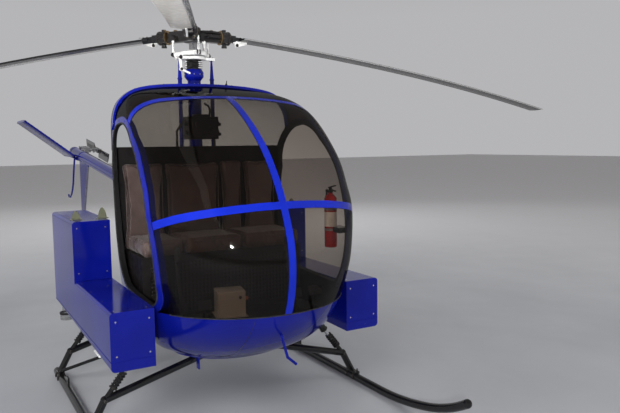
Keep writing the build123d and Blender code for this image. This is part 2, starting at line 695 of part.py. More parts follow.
with BuildPart() as extinguisher:
    rod((960, 570, 1080), (960, 570, 1400), 41)
    rod((960, 570, 1399), (960, 570, 1440), 15)
with BuildPart() as extinguisher_bracket:
    slab(950, 1080, 560, 660, 1180, 1215)
    add(cabin_in_frame.part, mode=Mode.INTERSECT)
    with Locations((960, 570, 1200)):
        Cylinder(41 + SEAM, 100, mode=Mode.SUBTRACT)

# Main rotor
HUB_DROP = 16
ARM_Z = HUB_Z - HUB_DROP
GRIP_R = 24
EYE_R, EYE_H, PIN_R, FORK_T, FORK_R = 44, 54, 16, 12, 44
ARM_HALF = 26
HORN_TURN = 18
LINK_R, LINK_RAD = 150, 7
HUB_LOW = ARM_Z - EYE_H / 2 - SEAM - FORK_T
with BuildPart() as rotor_shaft:
    rod((0, 0, MAST_LOW + 40), (0, 0, HUB_LOW - SEAM), SHAFT_R)
HORN_T = 16
with BuildPart() as main_hub:
    rod((0, 0, HUB_LOW), (0, 0, HUB_Z + 34), 58)
    rod((0, 0, HUB_Z + 34), (0, 0, HUB_Z + 52), 36)
    for name, azimuth, lag in BLADES:
        with Locations(Location((0, 0, ARM_Z), (0, 0, azimuth))):
            Box(LAG_R - EYE_R - 8, 2 * ARM_HALF, EYE_H + 2 * SEAM, align=(Align.MIN, Align.CENTER, Align.CENTER))
            for s in (-1, 1):
                with Locations((0, 0, s * (EYE_H / 2 + SEAM + FORK_T / 2))):
                    Box(LAG_R, 2 * ARM_HALF, FORK_T, align=(Align.MIN, Align.CENTER, Align.CENTER))
                    with Locations((LAG_R, 0, 0)):
                        Cylinder(FORK_R, FORK_T)
            with Locations((LAG_R, 0, 0)):
                Cylinder(PIN_R, EYE_H + 2 * FORK_T + 44)
            with Locations((LAG_R, 0, -EYE_H / 2 - FORK_T - 26)):
                Cylinder(20, 14)
        a = radians(azimuth + HORN_TURN)
        b = radians(azimuth)
        rod((120 * cos(b), 120 * sin(b), ARM_Z), (LINK_R * cos(a), LINK_R * sin(a), ARM_Z), HORN_T / 2)
        with Locations((LINK_R * cos(a), LINK_R * sin(a), ARM_Z)):
            Sphere(HORN_T / 2 + 3)
# Lag dampers beside the hub arms
LAG_DAMPER_R = 17
with BuildPart() as lag_dampers:
    for name, azimuth, lag in BLADES:
        a = radians(azimuth)
        off = ARM_HALF + LAG_DAMPER_R + SEAM
        start = (96 * cos(a) + off * sin(a), 96 * sin(a) - off * cos(a), ARM_Z)
        stop = (196 * cos(a) + off * sin(a), 196 * sin(a) - off * cos(a), ARM_Z)
        rod(start, stop, LAG_DAMPER_R)
TURNING_LOW = SWASH_LOW + SWASH_T + SWASH_GAP
TURNING_T, TURNING_R = 26, 98
with BuildPart() as swashplate_turning:
    with Locations((0, 0, TURNING_LOW)):
        Cylinder(TURNING_R, TURNING_T, align=(Align.CENTER, Align.CENTER, Align.MIN))
        Cylinder(SHAFT_R + 16, TURNING_T + 14, align=(Align.CENTER, Align.CENTER, Align.MIN))
        Cylinder(SHAFT_R + 1, TURNING_T + 14, align=(Align.CENTER, Align.CENTER, Align.MIN), mode=Mode.SUBTRACT)
    link_low = TURNING_LOW + TURNING_T / 2
    for name, azimuth, lag in BLADES:
        a = radians(azimuth + HORN_TURN)
        rod((80 * cos(a), 80 * sin(a), link_low), (LINK_R * cos(a), LINK_R * sin(a), link_low), 11)
        with Locations((LINK_R * cos(a), LINK_R * sin(a), link_low)):
            Sphere(12)
        rod((LINK_R * cos(a), LINK_R * sin(a), link_low),
            (LINK_R * cos(a), LINK_R * sin(a), ARM_Z - HORN_T / 2 - 3 - SEAM), LINK_RAD)


def aerofoil(chord, thick):
    """closed blade section, leading edge towards +Y of the sketch's X"""
    lead, trail = chord * 0.27, -chord * 0.73
    Polyline((trail, -0.8), (trail, 0.8))
    ThreePointArc((trail, 0.8), (-chord * 0.1, thick * 0.47), (lead - chord * 0.06, thick * 0.36))
    ThreePointArc((lead - chord * 0.06, thick * 0.36), (lead, 0), (lead - chord * 0.06, -thick * 0.36))
    ThreePointArc((lead - chord * 0.06, -thick * 0.36), (-chord * 0.1, -thick * 0.47), (trail, -0.8))


BLADE_LEN = ROTOR_R - LAG_R
BEND_R = BLADE_LEN / radians(DROOP_TIP - DROOP_HINGE)
ROOT_START = 115
with BuildPart() as blade_form:
    with BuildSketch(Plane.YZ):
        with BuildLine():
            aerofoil(BLADE_CHORD, 20)
        make_face()
    revolve(axis=Axis((0, 0, -BEND_R), (0, 1, 0)), revolution_arc=degrees((BLADE_LEN - ROOT_START) / BEND_R))
with BuildPart() as eye_form:
    Cylinder(EYE_R, EYE_H)
    Box(88, 52, EYE_H - 8, align=(Align.MIN, Align.CENTER, Align.CENTER))
    Cylinder(PIN_R + SEAM, 2 * EYE_H, mode=Mode.SUBTRACT)
with BuildPart() as cuff_form:
    rod((70, 0, 0), (ROOT_START + 60, 0, 0), GRIP_R)


def lag_hinge(azimuth, lag):
    """place of a blade's lag hinge"""
    a = radians(azimuth)
    return Location((LAG_R * cos(a), LAG_R * sin(a), ARM_Z), (0, 0, azimuth + lag))


root_shift = Location((ROOT_START, 0, 0))
for name, azimuth, lag in BLADES:
    with BuildPart() as main_blade:
        hinge = lag_hinge(azimuth, lag)
        place = hinge * Location((0, 0, 0), (0, DROOP_HINGE, 0))
        add(eye_form.part.moved(hinge))
        add(cuff_form.part.moved(place))
        add(blade_form.part.moved(place * root_shift))
    main_blade.part.label = name
    export_step(main_blade.part, "parts/" + name + ".step")

# Tail rotor
TAIL_PITCH = 8
TAIL_AZIMUTH = 7
with BuildPart() as tail_hub:
    with Locations(Location((TAIL_ROTOR_X, BOOM_R + 70, TAIL_ROTOR_Z), (-90, 0, 0))):
        Cylinder(TAIL_SHAFT_R, TAIL_ROTOR_Y - BOOM_R - 70, align=(Align.CENTER, Align.CENTER, Align.MIN))
    with Locations(Location((TAIL_ROTOR_X, TAIL_ROTOR_Y, TAIL_ROTOR_Z), (0, TAIL_AZIMUTH, 0))):
        Box(240, 50, 50)
with BuildPart() as tail_blade_form:
    with BuildSketch(Plane.YZ.offset(120 + SEAM)):
        with BuildLine():
            aerofoil(TAIL_CHORD, 14)
        make_face()
    extrude(amount=TAIL_ROTOR_R - 120 - SEAM)
with BuildPart() as tail_blades:
    for turn in (0, 180):
        spot = Location((TAIL_ROTOR_X, TAIL_ROTOR_Y, TAIL_ROTOR_Z), (0, TAIL_AZIMUTH + turn, 0))
        add(tail_blade_form.part.moved(spot * Location((0, 0, 0), (90 - TAIL_PITCH, 0, 0))))

PIECES = {
    "nose_belly": nose_belly,
    "cabin_floor": cabin_floor,
    "windshield_right": windshield_right,
    "windshield_left": windshield_left,
    "windshield_frame": windshield_frame,
    "skylight": skylight,
    "roof_bow": roof_bow,
    "roof_panel": roof_panel,
    "rear_window": rear_window,
    "door_frame_right": door_frame_right,
    "door_frame_left": door_frame_left,
    "bulkhead": bulkhead,
    "seat_base": seat_base,
    "seat_cushions": seat_cushions,
    "seat_backs": seat_backs,
    "console": console,
    "cyclic_sticks": cyclic_sticks,
    "pedals": pedals,
    "overhead_box": overhead_box,
    "extinguisher": extinguisher,
    "extinguisher_bracket": extinguisher_bracket,
    "front_beam": front_beam,
    "mast_tube": mast_tube,
    "mast_boot": mast_boot,
    "control_rods": control_rods,
    "swashplate_fixed": swashplate_fixed,
    "centre_frame": centre_frame,
    "transmission": transmission,
    "electric_motor": electric_motor,
    "belt_drive": belt_drive,
    "battery_box_right": battery_box_right,
    "battery_box_left": battery_box_left,
    "tail_boom": tail_boom,
    "boom_struts": boom_struts,
    "tail_gearbox": tail_gearbox,
    "stabiliser": stabiliser,
    "fin": fin,
    "tail_guard": tail_guard,
    "gear_struts": gear_struts,
    "dampers": dampers,
    "drag_braces": drag_braces,
    "skid_right": skid_right,
    "skid_left": skid_left,
    "pitot_tube": pitot_tube,
    "belly_antenna": belly_antenna,
    "landing_light": landing_light,
    "rotor_shaft": rotor_shaft,
    "main_hub": main_hub,
    "lag_dampers": lag_dampers,
    "swashplate_turning": swashplate_turning,
    "tail_hub": tail_hub,
    "tail_blades": tail_blades,
}
for name, piece in PIECES.items():
    piece.part.label = name
    export_step(piece.part, "parts/" + name + ".step")
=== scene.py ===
"""Looks of the light electric helicopter: materials, fittings, seats, floor, light and camera."""
import json
from math import atan2, cos, pi, radians, sin

import bmesh
import bpy
from mathutils import Matrix, Vector, noise


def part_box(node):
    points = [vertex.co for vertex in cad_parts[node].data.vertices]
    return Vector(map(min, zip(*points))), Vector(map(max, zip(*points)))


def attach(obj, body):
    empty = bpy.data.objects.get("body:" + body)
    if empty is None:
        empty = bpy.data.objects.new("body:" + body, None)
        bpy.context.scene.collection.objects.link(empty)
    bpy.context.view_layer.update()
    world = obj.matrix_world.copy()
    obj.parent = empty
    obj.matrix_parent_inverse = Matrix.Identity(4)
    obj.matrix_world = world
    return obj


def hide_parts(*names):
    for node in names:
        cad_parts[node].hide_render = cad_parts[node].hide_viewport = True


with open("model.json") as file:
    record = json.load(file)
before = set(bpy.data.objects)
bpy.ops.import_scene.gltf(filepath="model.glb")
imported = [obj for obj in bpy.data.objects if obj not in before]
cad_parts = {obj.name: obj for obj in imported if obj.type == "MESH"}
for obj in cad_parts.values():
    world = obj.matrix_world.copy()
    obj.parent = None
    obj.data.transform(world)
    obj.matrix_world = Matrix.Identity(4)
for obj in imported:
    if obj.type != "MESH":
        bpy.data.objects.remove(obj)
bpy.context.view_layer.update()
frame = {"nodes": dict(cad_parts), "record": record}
NODES = frame["nodes"]
SCENE = bpy.context.scene
SCENE.view_settings.view_transform = "Standard"
AIR, MAIN, TAIL = "airframe", "main_rotor", "tail_rotor"
AHEAD, PORT, UP = Vector((1, 0, 0)), Vector((0, 1, 0)), Vector((0, 0, 1))


# Camera: position, view direction and focal length fitted to the photograph
PHOTO_W, FOCAL_PX, SENSOR = 620, 658.12, 36.0
EYE = Vector((4.64846, -1.70924, 1.76694))
YAW, PITCH, ROLL = radians(150.087), radians(-5.543), radians(-0.678)


def make_camera():
    """camera that takes the photograph's view"""
    ahead = Vector((cos(YAW) * cos(PITCH), sin(YAW) * cos(PITCH), sin(PITCH)))
    right = ahead.cross(UP).normalized()
    up = right.cross(ahead)
    right, up = cos(ROLL) * right + sin(ROLL) * up, cos(ROLL) * up - sin(ROLL) * right
    data = bpy.data.cameras.new("camera")
    data.sensor_width = SENSOR
    data.lens = FOCAL_PX / PHOTO_W * SENSOR
    data.clip_end = 200
    cam = bpy.data.objects.new("camera", data)
    cam.matrix_world = Matrix((
        (right.x, up.x, -ahead.x, EYE.x), (right.y, up.y, -ahead.y, EYE.y),
        (right.z, up.z, -ahead.z, EYE.z), (0, 0, 0, 1)))
    SCENE.collection.objects.link(cam)
    SCENE.camera = cam


make_camera()


# Materials
PAINT_IOR, DUST, GLINT_SPECK_GREY, INSIDE_NEAR_BLACK = 1.34, (0.42, 0.40, 0.38), (0.50, 0.50, 0.52), (0.006, 0.0055, 0.006)


class Mat:
    """a node material built step by step"""

    def __init__(self, name):
        self.material = bpy.data.materials.new(name)
        self.material.use_nodes = True
        self.nodes = self.material.node_tree.nodes
        self.links = self.material.node_tree.links
        self.nodes.clear()
        self.place = self.node("TexCoord").outputs["Object"]
        self.out = self.node("OutputMaterial")

    def node(self, kind):
        """new shader node"""
        return self.nodes.new("ShaderNode" + kind)

    def put(self, socket, value):
        """sets a socket to a value or joins it to an output"""
        if isinstance(value, bpy.types.NodeSocket):
            self.links.new(value, socket)
        elif isinstance(value, tuple) and len(value) == 3 and len(socket.default_value) == 4:
            socket.default_value = (*value, 1.0)
        else:
            socket.default_value = value

    def noise(self, scale, detail, rough=0.5):
        """cloudy pattern, 0 to 1"""
        n = self.node("TexNoise")
        self.put(n.inputs["Vector"], self.place)
        n.inputs["Scale"].default_value = scale
        n.inputs["Detail"].default_value = detail
        n.inputs["Roughness"].default_value = rough
        return n.outputs["Fac"]

    def stretched(self, stretch):
        """object place, scaled by axis"""
        if stretch is None:
            return self.place
        m = self.node("Mapping")
        self.put(m.inputs["Vector"], self.place)
        m.inputs["Scale"].default_value = stretch
        return m.outputs["Vector"]

    def cells(self, scale, feature="F1", stretch=None):
        """cell pattern"""
        n = self.node("TexVoronoi")
        n.feature = feature
        self.put(n.inputs["Vector"], self.stretched(stretch))
        n.inputs["Scale"].default_value = scale
        return n.outputs["Distance"]

    def math(self, kind, a, b):
        """one sum on two numbers or outputs"""
        n = self.node("Math")
        n.operation = kind
        self.put(n.inputs[0], a)
        self.put(n.inputs[1], b)
        return n.outputs[0]

    def times(self, a, b):
        """product of two numbers or outputs"""
        return self.math("MULTIPLY", a, b)

    def span(self, value, low, high, to_low=0.0, to_high=1.0):
        """value from low..high to to_low..to_high, held at the ends"""
        n = self.node("MapRange")
        self.put(n.inputs["Value"], value)
        for key, v in (("From Min", low), ("From Max", high), ("To Min", to_low), ("To Max", to_high)):
            n.inputs[key].default_value = v
        return n.outputs[0]

    def cloud(self, scale, detail, low, high, to_low=0.0, to_high=1.0, rough=0.5):
        """noise between low and high as a value between to_low and to_high"""
        return self.span(self.noise(scale, detail, rough), low, high, to_low, to_high)

    def mix(self, share, a, b):
        """colour between a and b"""
        n = self.node("Mix")
        n.data_type = "RGBA"
        self.put(n.inputs["Factor"], share)
        self.put(n.inputs["A"], a)
        self.put(n.inputs["B"], b)
        return n.outputs["Result"]

    def facing(self, axis):
        """how far the surface looks along an axis, -1 to 1"""
        g = self.node("NewGeometry")
        s = self.node("SeparateXYZ")
        self.put(s.inputs[0], g.outputs["Normal"])
        return s.outputs[axis]

    def inside(self, centre):
        """1 on surfaces that look towards a point, 0 on those that look away"""
        out = self.node("VectorMath")
        out.operation = "SUBTRACT"
        self.put(out.inputs[0], self.place)
        out.inputs[1].default_value = centre
        g = self.node("NewGeometry")
        d = self.node("VectorMath")
        d.operation = "DOT_PRODUCT"
        self.put(d.inputs[0], out.outputs[0])
        self.put(d.inputs[1], g.outputs["Normal"])
        return self.math("LESS_THAN", d.outputs["Value"], -0.02)

    def edges(self, width):
        """how far a surface is near a sharp edge, 0 to 1"""
        b = self.node("Bevel")
        b.samples = 4
        b.inputs["Radius"].default_value = width
        g = self.node("NewGeometry")
        d = self.node("VectorMath")
        d.operation = "DOT_PRODUCT"
        self.put(d.inputs[0], b.outputs["Normal"])
        self.put(d.inputs[1], g.outputs["Normal"])
        return self.span(d.outputs["Value"], 0.98, 0.80)

    def bump(self, height, strength, distance, before=None):
        """raised surface"""
        n = self.node("Bump")
        self.put(n.inputs["Height"], height)
        n.inputs["Strength"].default_value = strength
        n.inputs["Distance"].default_value = distance
        if before is not None:
            self.put(n.inputs["Normal"], before)
        return n.outputs["Normal"]

    def surface(self, **inputs):
        """principled surface, inputs by name with underscores for spaces"""
        n = self.node("BsdfPrincipled")
        for key, value in inputs.items():
            self.put(n.inputs[key.replace("_", " ")], value)
        self.links.new(n.outputs[0], self.out.inputs["Surface"])
        return self.material


def shade(colour, share):
    """colour made darker or lighter"""
    return tuple(min(1.0, c * share) for c in colour)


def paint(name, colour, gloss=0.07, dust=0.03, glint_share=0.5, dark_towards=None):
    """glossy sprayed paint with faint cloudiness, dust on top faces and a few pale specks of painted highlight
    """
    m = Mat(name)
    cloud = m.noise(2.2, 3)
    light = tuple(min(1.0, c * 1.2 + 0.001) for c in colour)
    base = m.mix(m.span(cloud, 0.3, 0.7), shade(colour, 0.80), light)
    up = m.span(m.facing("Z"), 0.3, 1.0)
    grain = m.cloud(90, 5, 0.45, 0.75, rough=0.7)
    base = m.mix(m.times(m.times(up, grain), dust), base, DUST)
    # painted highlight: rare small pale grey specks stand for glints on the paint
    spot = m.span(m.cells(38), 0.055, 0.030)
    rare = m.cloud(7, 2, 0.60, 0.66)
    base = m.mix(m.times(m.times(spot, rare), glint_share), base, GLINT_SPECK_GREY)
    rough = m.math("ADD", m.cloud(14, 5, 0.3, 0.75, gloss * 0.7, gloss * 1.6), m.times(up, 0.04))
    # faces turned towards the given point are made near black and rougher
    if dark_towards:
        inner = m.inside(dark_towards)
        base = m.mix(inner, base, INSIDE_NEAR_BLACK)
        rough = m.math("ADD", rough, m.times(inner, 0.5))
    peel = m.bump(m.noise(320, 2), 0.05, 0.0006)
    wave = m.bump(m.noise(3.5, 1), 0.10, 0.004, peel)
    return m.surface(Base_Color=base, Roughness=rough, Normal=wave, IOR=PAINT_IOR)


def satin_black(name, colour, gloss, scuff=(0.20, 0.19, 0.18), amount=0.6, level=0.5):
    """black paint or plastic with scuffed edges, smears and grit"""
    m = Mat(name)
    smear = m.cloud(9, 5, 0.35, 0.75, rough=0.6)
    base = m.mix(smear, colour, tuple(c * 1.7 + 0.001 for c in colour))
    worn = m.times(m.edges(0.003), m.cloud(60, 4, 0.45, 0.62, rough=0.7))
    base = m.mix(m.times(worn, amount), base, scuff)
    grit = m.times(m.span(m.facing("Z"), 0.2, 1.0), m.cloud(130, 4, 0.5, 0.8))
    base = m.mix(m.times(grit, 0.08), base, (0.30, 0.28, 0.25))
    rough = m.cloud(22, 5, 0.3, 0.75, gloss * 0.7, gloss * 1.5)
    return m.surface(Base_Color=base, Roughness=rough, Normal=m.bump(m.noise(240, 3), 0.12, 0.0006),
                     Specular_IOR_Level=level)


def bare_metal(name, colour, gloss, grime=0.4):
    """satin metal with fine brush marks, oil film and grime in places"""
    m = Mat(name)
    lines = m.noise(120, 3, 0.6)
    base = m.mix(m.span(lines, 0.3, 0.7), shade(colour, 0.85), shade(colour, 1.15))
    film = m.times(m.cloud(16, 5, 0.50, 0.75, rough=0.65), grime)
    base = m.mix(film, base, (0.06, 0.05, 0.04))
    rough = m.span(lines, 0.3, 0.7, gloss * 0.8, gloss * 1.3)
    return m.surface(Base_Color=base, Metallic=m.math("SUBTRACT", 0.95, m.times(film, 0.6)),
                     Roughness=rough, Normal=m.bump(lines, 0.15, 0.0004))


def white_paint(name):
    """white painted metal, chipped and oily near the joints"""
    m = Mat(name)
    base = m.mix(m.cloud(25, 5, 0.35, 0.7), (0.72, 0.72, 0.70), (0.84, 0.84, 0.82))
    worn = m.times(m.edges(0.002), m.cloud(80, 4, 0.5, 0.62, rough=0.7))
    base = m.mix(m.times(worn, 0.8), base, (0.16, 0.15, 0.14))
    oil = m.times(m.cloud(30, 5, 0.58, 0.75, rough=0.6), 0.5)
    base = m.mix(oil, base, (0.30, 0.26, 0.20))
    return m.surface(Base_Color=base, Roughness=m.cloud(30, 3, 0.3, 0.7, 0.28, 0.5),
                     Normal=m.bump(m.noise(200, 3), 0.15, 0.0005))


def window(name, tint, level=0.012, haze=0.004, gloss=0.02):
    """clear plastic that tints what is behind it and mirrors more at a slant"""
    m = Mat(name)
    w = m.node("LayerWeight")
    w.inputs["Blend"].default_value = 0.5
    slant = m.math("POWER", w.outputs["Facing"], 4.2)
    mirror = m.math("ADD", m.times(slant, 0.22), level)
    see = m.node("BsdfTransparent")
    cloud = m.cloud(1.6, 2, 0.3, 0.7)
    thick = m.mix(slant, m.mix(cloud, shade(tint, 0.94), tint), tuple(c ** 3 * 0.30 for c in tint))
    m.put(see.inputs["Color"], thick)
    film = m.node("BsdfDiffuse")
    film.inputs["Color"].default_value = (0.55, 0.52, 0.48, 1)
    dirt = m.node("MixShader")
    smear = m.times(m.cloud(11, 6, 0.42, 0.85, rough=0.7), haze)
    m.put(dirt.inputs[0], smear)
    m.links.new(see.outputs[0], dirt.inputs[1])
    m.links.new(film.outputs[0], dirt.inputs[2])
    shine = m.node("BsdfGlossy")
    m.put(shine.inputs["Roughness"], m.cloud(35, 5, 0.4, 0.8, gloss, gloss * 4))
    m.put(shine.inputs["Normal"], m.bump(m.noise(2.5, 1), 0.04, 0.004))
    both = m.node("MixShader")
    m.put(both.inputs[0], mirror)
    m.links.new(dirt.outputs[0], both.inputs[1])
    m.links.new(shine.outputs[0], both.inputs[2])
    m.links.new(both.outputs[0], m.out.inputs["Surface"])
    return m.material


def leather(name, colour):
    """worn leather: pores, creases with painted shade in them, paler where it is rubbed"""
    m = Mat(name)
    base = m.mix(m.cloud(9, 5, 0.3, 0.7, rough=0.6), shade(colour, 0.72), shade(colour, 1.25))
    rub = m.times(m.cloud(4, 4, 0.52, 0.72), 0.35)
    base = m.mix(rub, base, shade(colour, 2.0))
    pores = m.cells(420)
    creases = m.cells(60, "DISTANCE_TO_EDGE", stretch=(1, 1.6, 0.7))
    crease_cut_and_shade = m.span(creases, 0.0, 0.06)
    # painted shade: the colour darkens towards 0.4 of itself in the creases
    base = m.mix(m.span(crease_cut_and_shade, 0.0, 1.0, 0.35, 0.0), base, shade(colour, 0.4))
    n1 = m.bump(pores, 0.25, 0.0005)
    n2 = m.bump(crease_cut_and_shade, 0.22, 0.0009, n1)
    n3 = m.bump(m.noise(16, 4), 0.30, 0.004, n2)
    return m.surface(Base_Color=base, Roughness=m.cloud(20, 4, 0.3, 0.7, 0.28, 0.42), Normal=n3,
                     Sheen_Weight=0.12, Sheen_Roughness=0.4, Specular_IOR_Level=0.45)


def cast(name, colour, rough=0.5, metal=0.6):
    """cast metal housing with a coarse skin"""
    m = Mat(name)
    base = m.mix(m.cloud(30, 5, 0.3, 0.7, rough=0.7), shade(colour, 0.75), colour)
    oil = m.times(m.cloud(6, 4, 0.55, 0.7), 0.5)
    base = m.mix(oil, base, (0.03, 0.028, 0.025))
    skin = m.cloud(50, 4, 0.3, 0.7, rough * 0.8, rough * 1.2)
    return m.surface(Base_Color=base, Metallic=metal, Roughness=skin,
                     Normal=m.bump(m.noise(260, 4, 0.7), 0.35, 0.0010))


def blade_painted_light(name, lit_under, arm_and_lag, shade_from):
    """dark blade whose underside carries painted light: lit pale on one side of a line along it, painted shade
    on the other
    """
    m = Mat(name)
    cloud = m.cloud(5, 3, 0.3, 0.7)
    top = m.mix(cloud, (0.006, 0.006, 0.007), (0.012, 0.012, 0.013))
    turn = m.node("VectorRotate")
    turn.rotation_type = "Z_AXIS"
    m.put(turn.inputs["Vector"], m.place)
    turn.inputs["Angle"].default_value = -radians(sum(arm_and_lag))
    split = m.node("SeparateXYZ")
    m.put(split.inputs[0], turn.outputs[0])
    # painted light: the pale underside colour stands for light falling on it, the dark side of the band for
    # shade
    lit_colour = m.mix(cloud, shade(lit_under, 0.93), lit_under)
    band = m.span(split.outputs["Y"], shade_from, shade_from + 0.012)
    worn = m.times(m.cloud(30, 4, 0.62, 0.72, rough=0.6), 0.25)
    lit_colour = m.mix(worn, lit_colour, (0.10, 0.09, 0.08))
    below = m.mix(band, lit_colour, (0.010, 0.010, 0.011))
    base = m.mix(m.span(m.facing("Z"), -0.15, -0.55), top, below)
    return m.surface(Base_Color=base, Roughness=m.cloud(26, 3, 0.3, 0.7, 0.16, 0.26),
                     Normal=m.bump(m.noise(6, 2), 0.06, 0.002))


def rubber(name, colour=(0.014, 0.014, 0.014)):
    """matt rubber with fine dust"""
    m = Mat(name)
    base = m.mix(m.cloud(70, 5, 0.45, 0.75, 0.0, 0.35), colour, (0.10, 0.095, 0.09))
    return m.surface(Base_Color=base, Roughness=m.cloud(40, 3, 0.3, 0.7, 0.55, 0.8),
                     Normal=m.bump(m.noise(300, 3), 0.25, 0.0006), Specular_IOR_Level=0.3)


# Azimuth of each blade's hub arm and the blade's lag, in degrees
BLADES = {"port": (96.0, 0.0), "rear": (216.0, 6.1), "front": (336.0, 2.2)}
BODY_BLUE, STRIP_BLUE = (0.0020, 0.0060, 0.19), (0.0024, 0.0130, 0.31)
CABIN_MID = (0.55, 0.0, 1.30)
BLUE = paint("blue_paint", BODY_BLUE)
# faces of the door hoops and nose that turn towards the cabin middle are near black
BLUE_DARK_INSIDE = paint("paint_dark_inside", BODY_BLUE, dark_towards=CABIN_MID)
STRIP = paint("strip_paint", STRIP_BLUE, gloss=0.16, dust=0.05)
BLACK = satin_black("black_gloss", (0.004, 0.004, 0.0045), gloss=0.09, amount=0.4)
FITTING = satin_black("black_fitting", (0.009, 0.008, 0.008), 0.20, (0.30, 0.26, 0.20), 0.8)
PLASTIC = satin_black("black_plastic", (0.007, 0.007, 0.0075), 0.4, (0.08, 0.08, 0.08), 0.4, 0.35)
TRIM = satin_black("dark_trim", (0.005, 0.0042, 0.004), 0.55, (0.06, 0.055, 0.05), 0.3, 0.25)
STEEL = bare_metal("satin_steel", (0.42, 0.42, 0.43), 0.30)
CHROME = bare_metal("polished_steel", (0.62, 0.62, 0.63), 0.12, grime=0.15)
WHITE = white_paint("white_metal")
GLASS = window("tinted_window", (0.63, 0.585, 0.545), level=0.018, haze=0.002)
DARK_GLASS = window("dark_window", (0.20, 0.17, 0.155))
CLEAR = window("clear_window", (0.93, 0.94, 0.94))
LEATHER = leather("brown_leather", (0.062, 0.042, 0.037))
CASTING = cast("cast_alloy", (0.34, 0.34, 0.35))
DARKCAST = cast("dark_casting", (0.10, 0.10, 0.105), 0.55, 0.4)
# painted light: each blade's pale underside colour is a lit copy of one blade, and the last number is where
# its painted shade starts
BLADE = blade_painted_light("blade_painted_light", (0.86, 0.84, 0.80), BLADES["port"], -0.108)
REAR_BLADE = blade_painted_light("rear_blade", (0.90, 0.88, 0.84), BLADES["rear"], -0.065)
FRONT_BLADE_LIT = blade_painted_light("front_blade_lit", (0.86, 0.82, 0.74), BLADES["front"], 0.004)
OIL = bare_metal("oily_brass", (0.34, 0.24, 0.12), 0.38, grime=0.9)
TAB = satin_black("olive_plastic", (0.10, 0.105, 0.065), 0.45, (0.22, 0.21, 0.16), 0.5, 0.4)
CHIPPED = bare_metal("chipped_edge", (0.30, 0.30, 0.33), 0.35, grime=0.9)
SPOT = paint("orange_spot", (0.55, 0.10, 0.01), gloss=0.3, dust=0.1)
RUBBER = rubber("black_rubber")
FLOOR_MAT = rubber("floor_mat", (0.012, 0.011, 0.011))
RED = paint("red_bottle", (0.42, 0.008, 0.012), gloss=0.18, dust=0.05)
LABEL = white_paint("bare_label")
BEIGE = paint("beige_box", (0.30, 0.265, 0.225), gloss=0.42, dust=0.35, glint_share=0.3)
CREAM = white_paint("cream_spring")
BEIGE_BOX = paint("beige_panel", (0.42, 0.365, 0.31), gloss=0.45, dust=0.10, glint_share=0.3)
LAMP = window("lamp_glass", (0.80, 0.81, 0.80), level=0.12, haze=0.10)

BY_SLOT = {
    "body_paint": BLUE, "strip_paint": STRIP, "tinted_glass": GLASS, "clear_glass": CLEAR, "floor": FLOOR_MAT,
    "dark_trim": TRIM, "leather": LEATHER, "beige_box": BEIGE, "black_metal": BLACK, "black_plastic": PLASTIC,
    "red_bottle": RED, "steel": STEEL, "motor": CASTING, "lamp": LAMP, "black_fitting": FITTING,
    "white_metal": WHITE, "blade": BLADE,
}
REPAINT = {
    "main_blade_front": FRONT_BLADE_LIT, "main_blade_rear": REAR_BLADE, "mast_boot": RUBBER,
    "nose_belly": BLUE_DARK_INSIDE, "door_frame_left": BLUE_DARK_INSIDE, "door_frame_right": BLUE_DARK_INSIDE,
    "skylight": DARK_GLASS, "tail_blades": BLACK, "transmission": CASTING, "tail_gearbox": CASTING,
    "console": BEIGE_BOX,
}
for row in frame["record"]["subparts"]:
    slots = NODES[row["node"]].data.materials
    slots.clear()
    slots.append(REPAINT.get(row["node"], BY_SLOT[row["material_slot"]]))


# Forms: small helpers that put a mesh together
SHARP_FROM = radians(38)


def square_to(way):
    """two directions square to a line"""
    way = Vector(way).normalized()
    side = way.orthogonal().normalized()
    return side, way.cross(side)


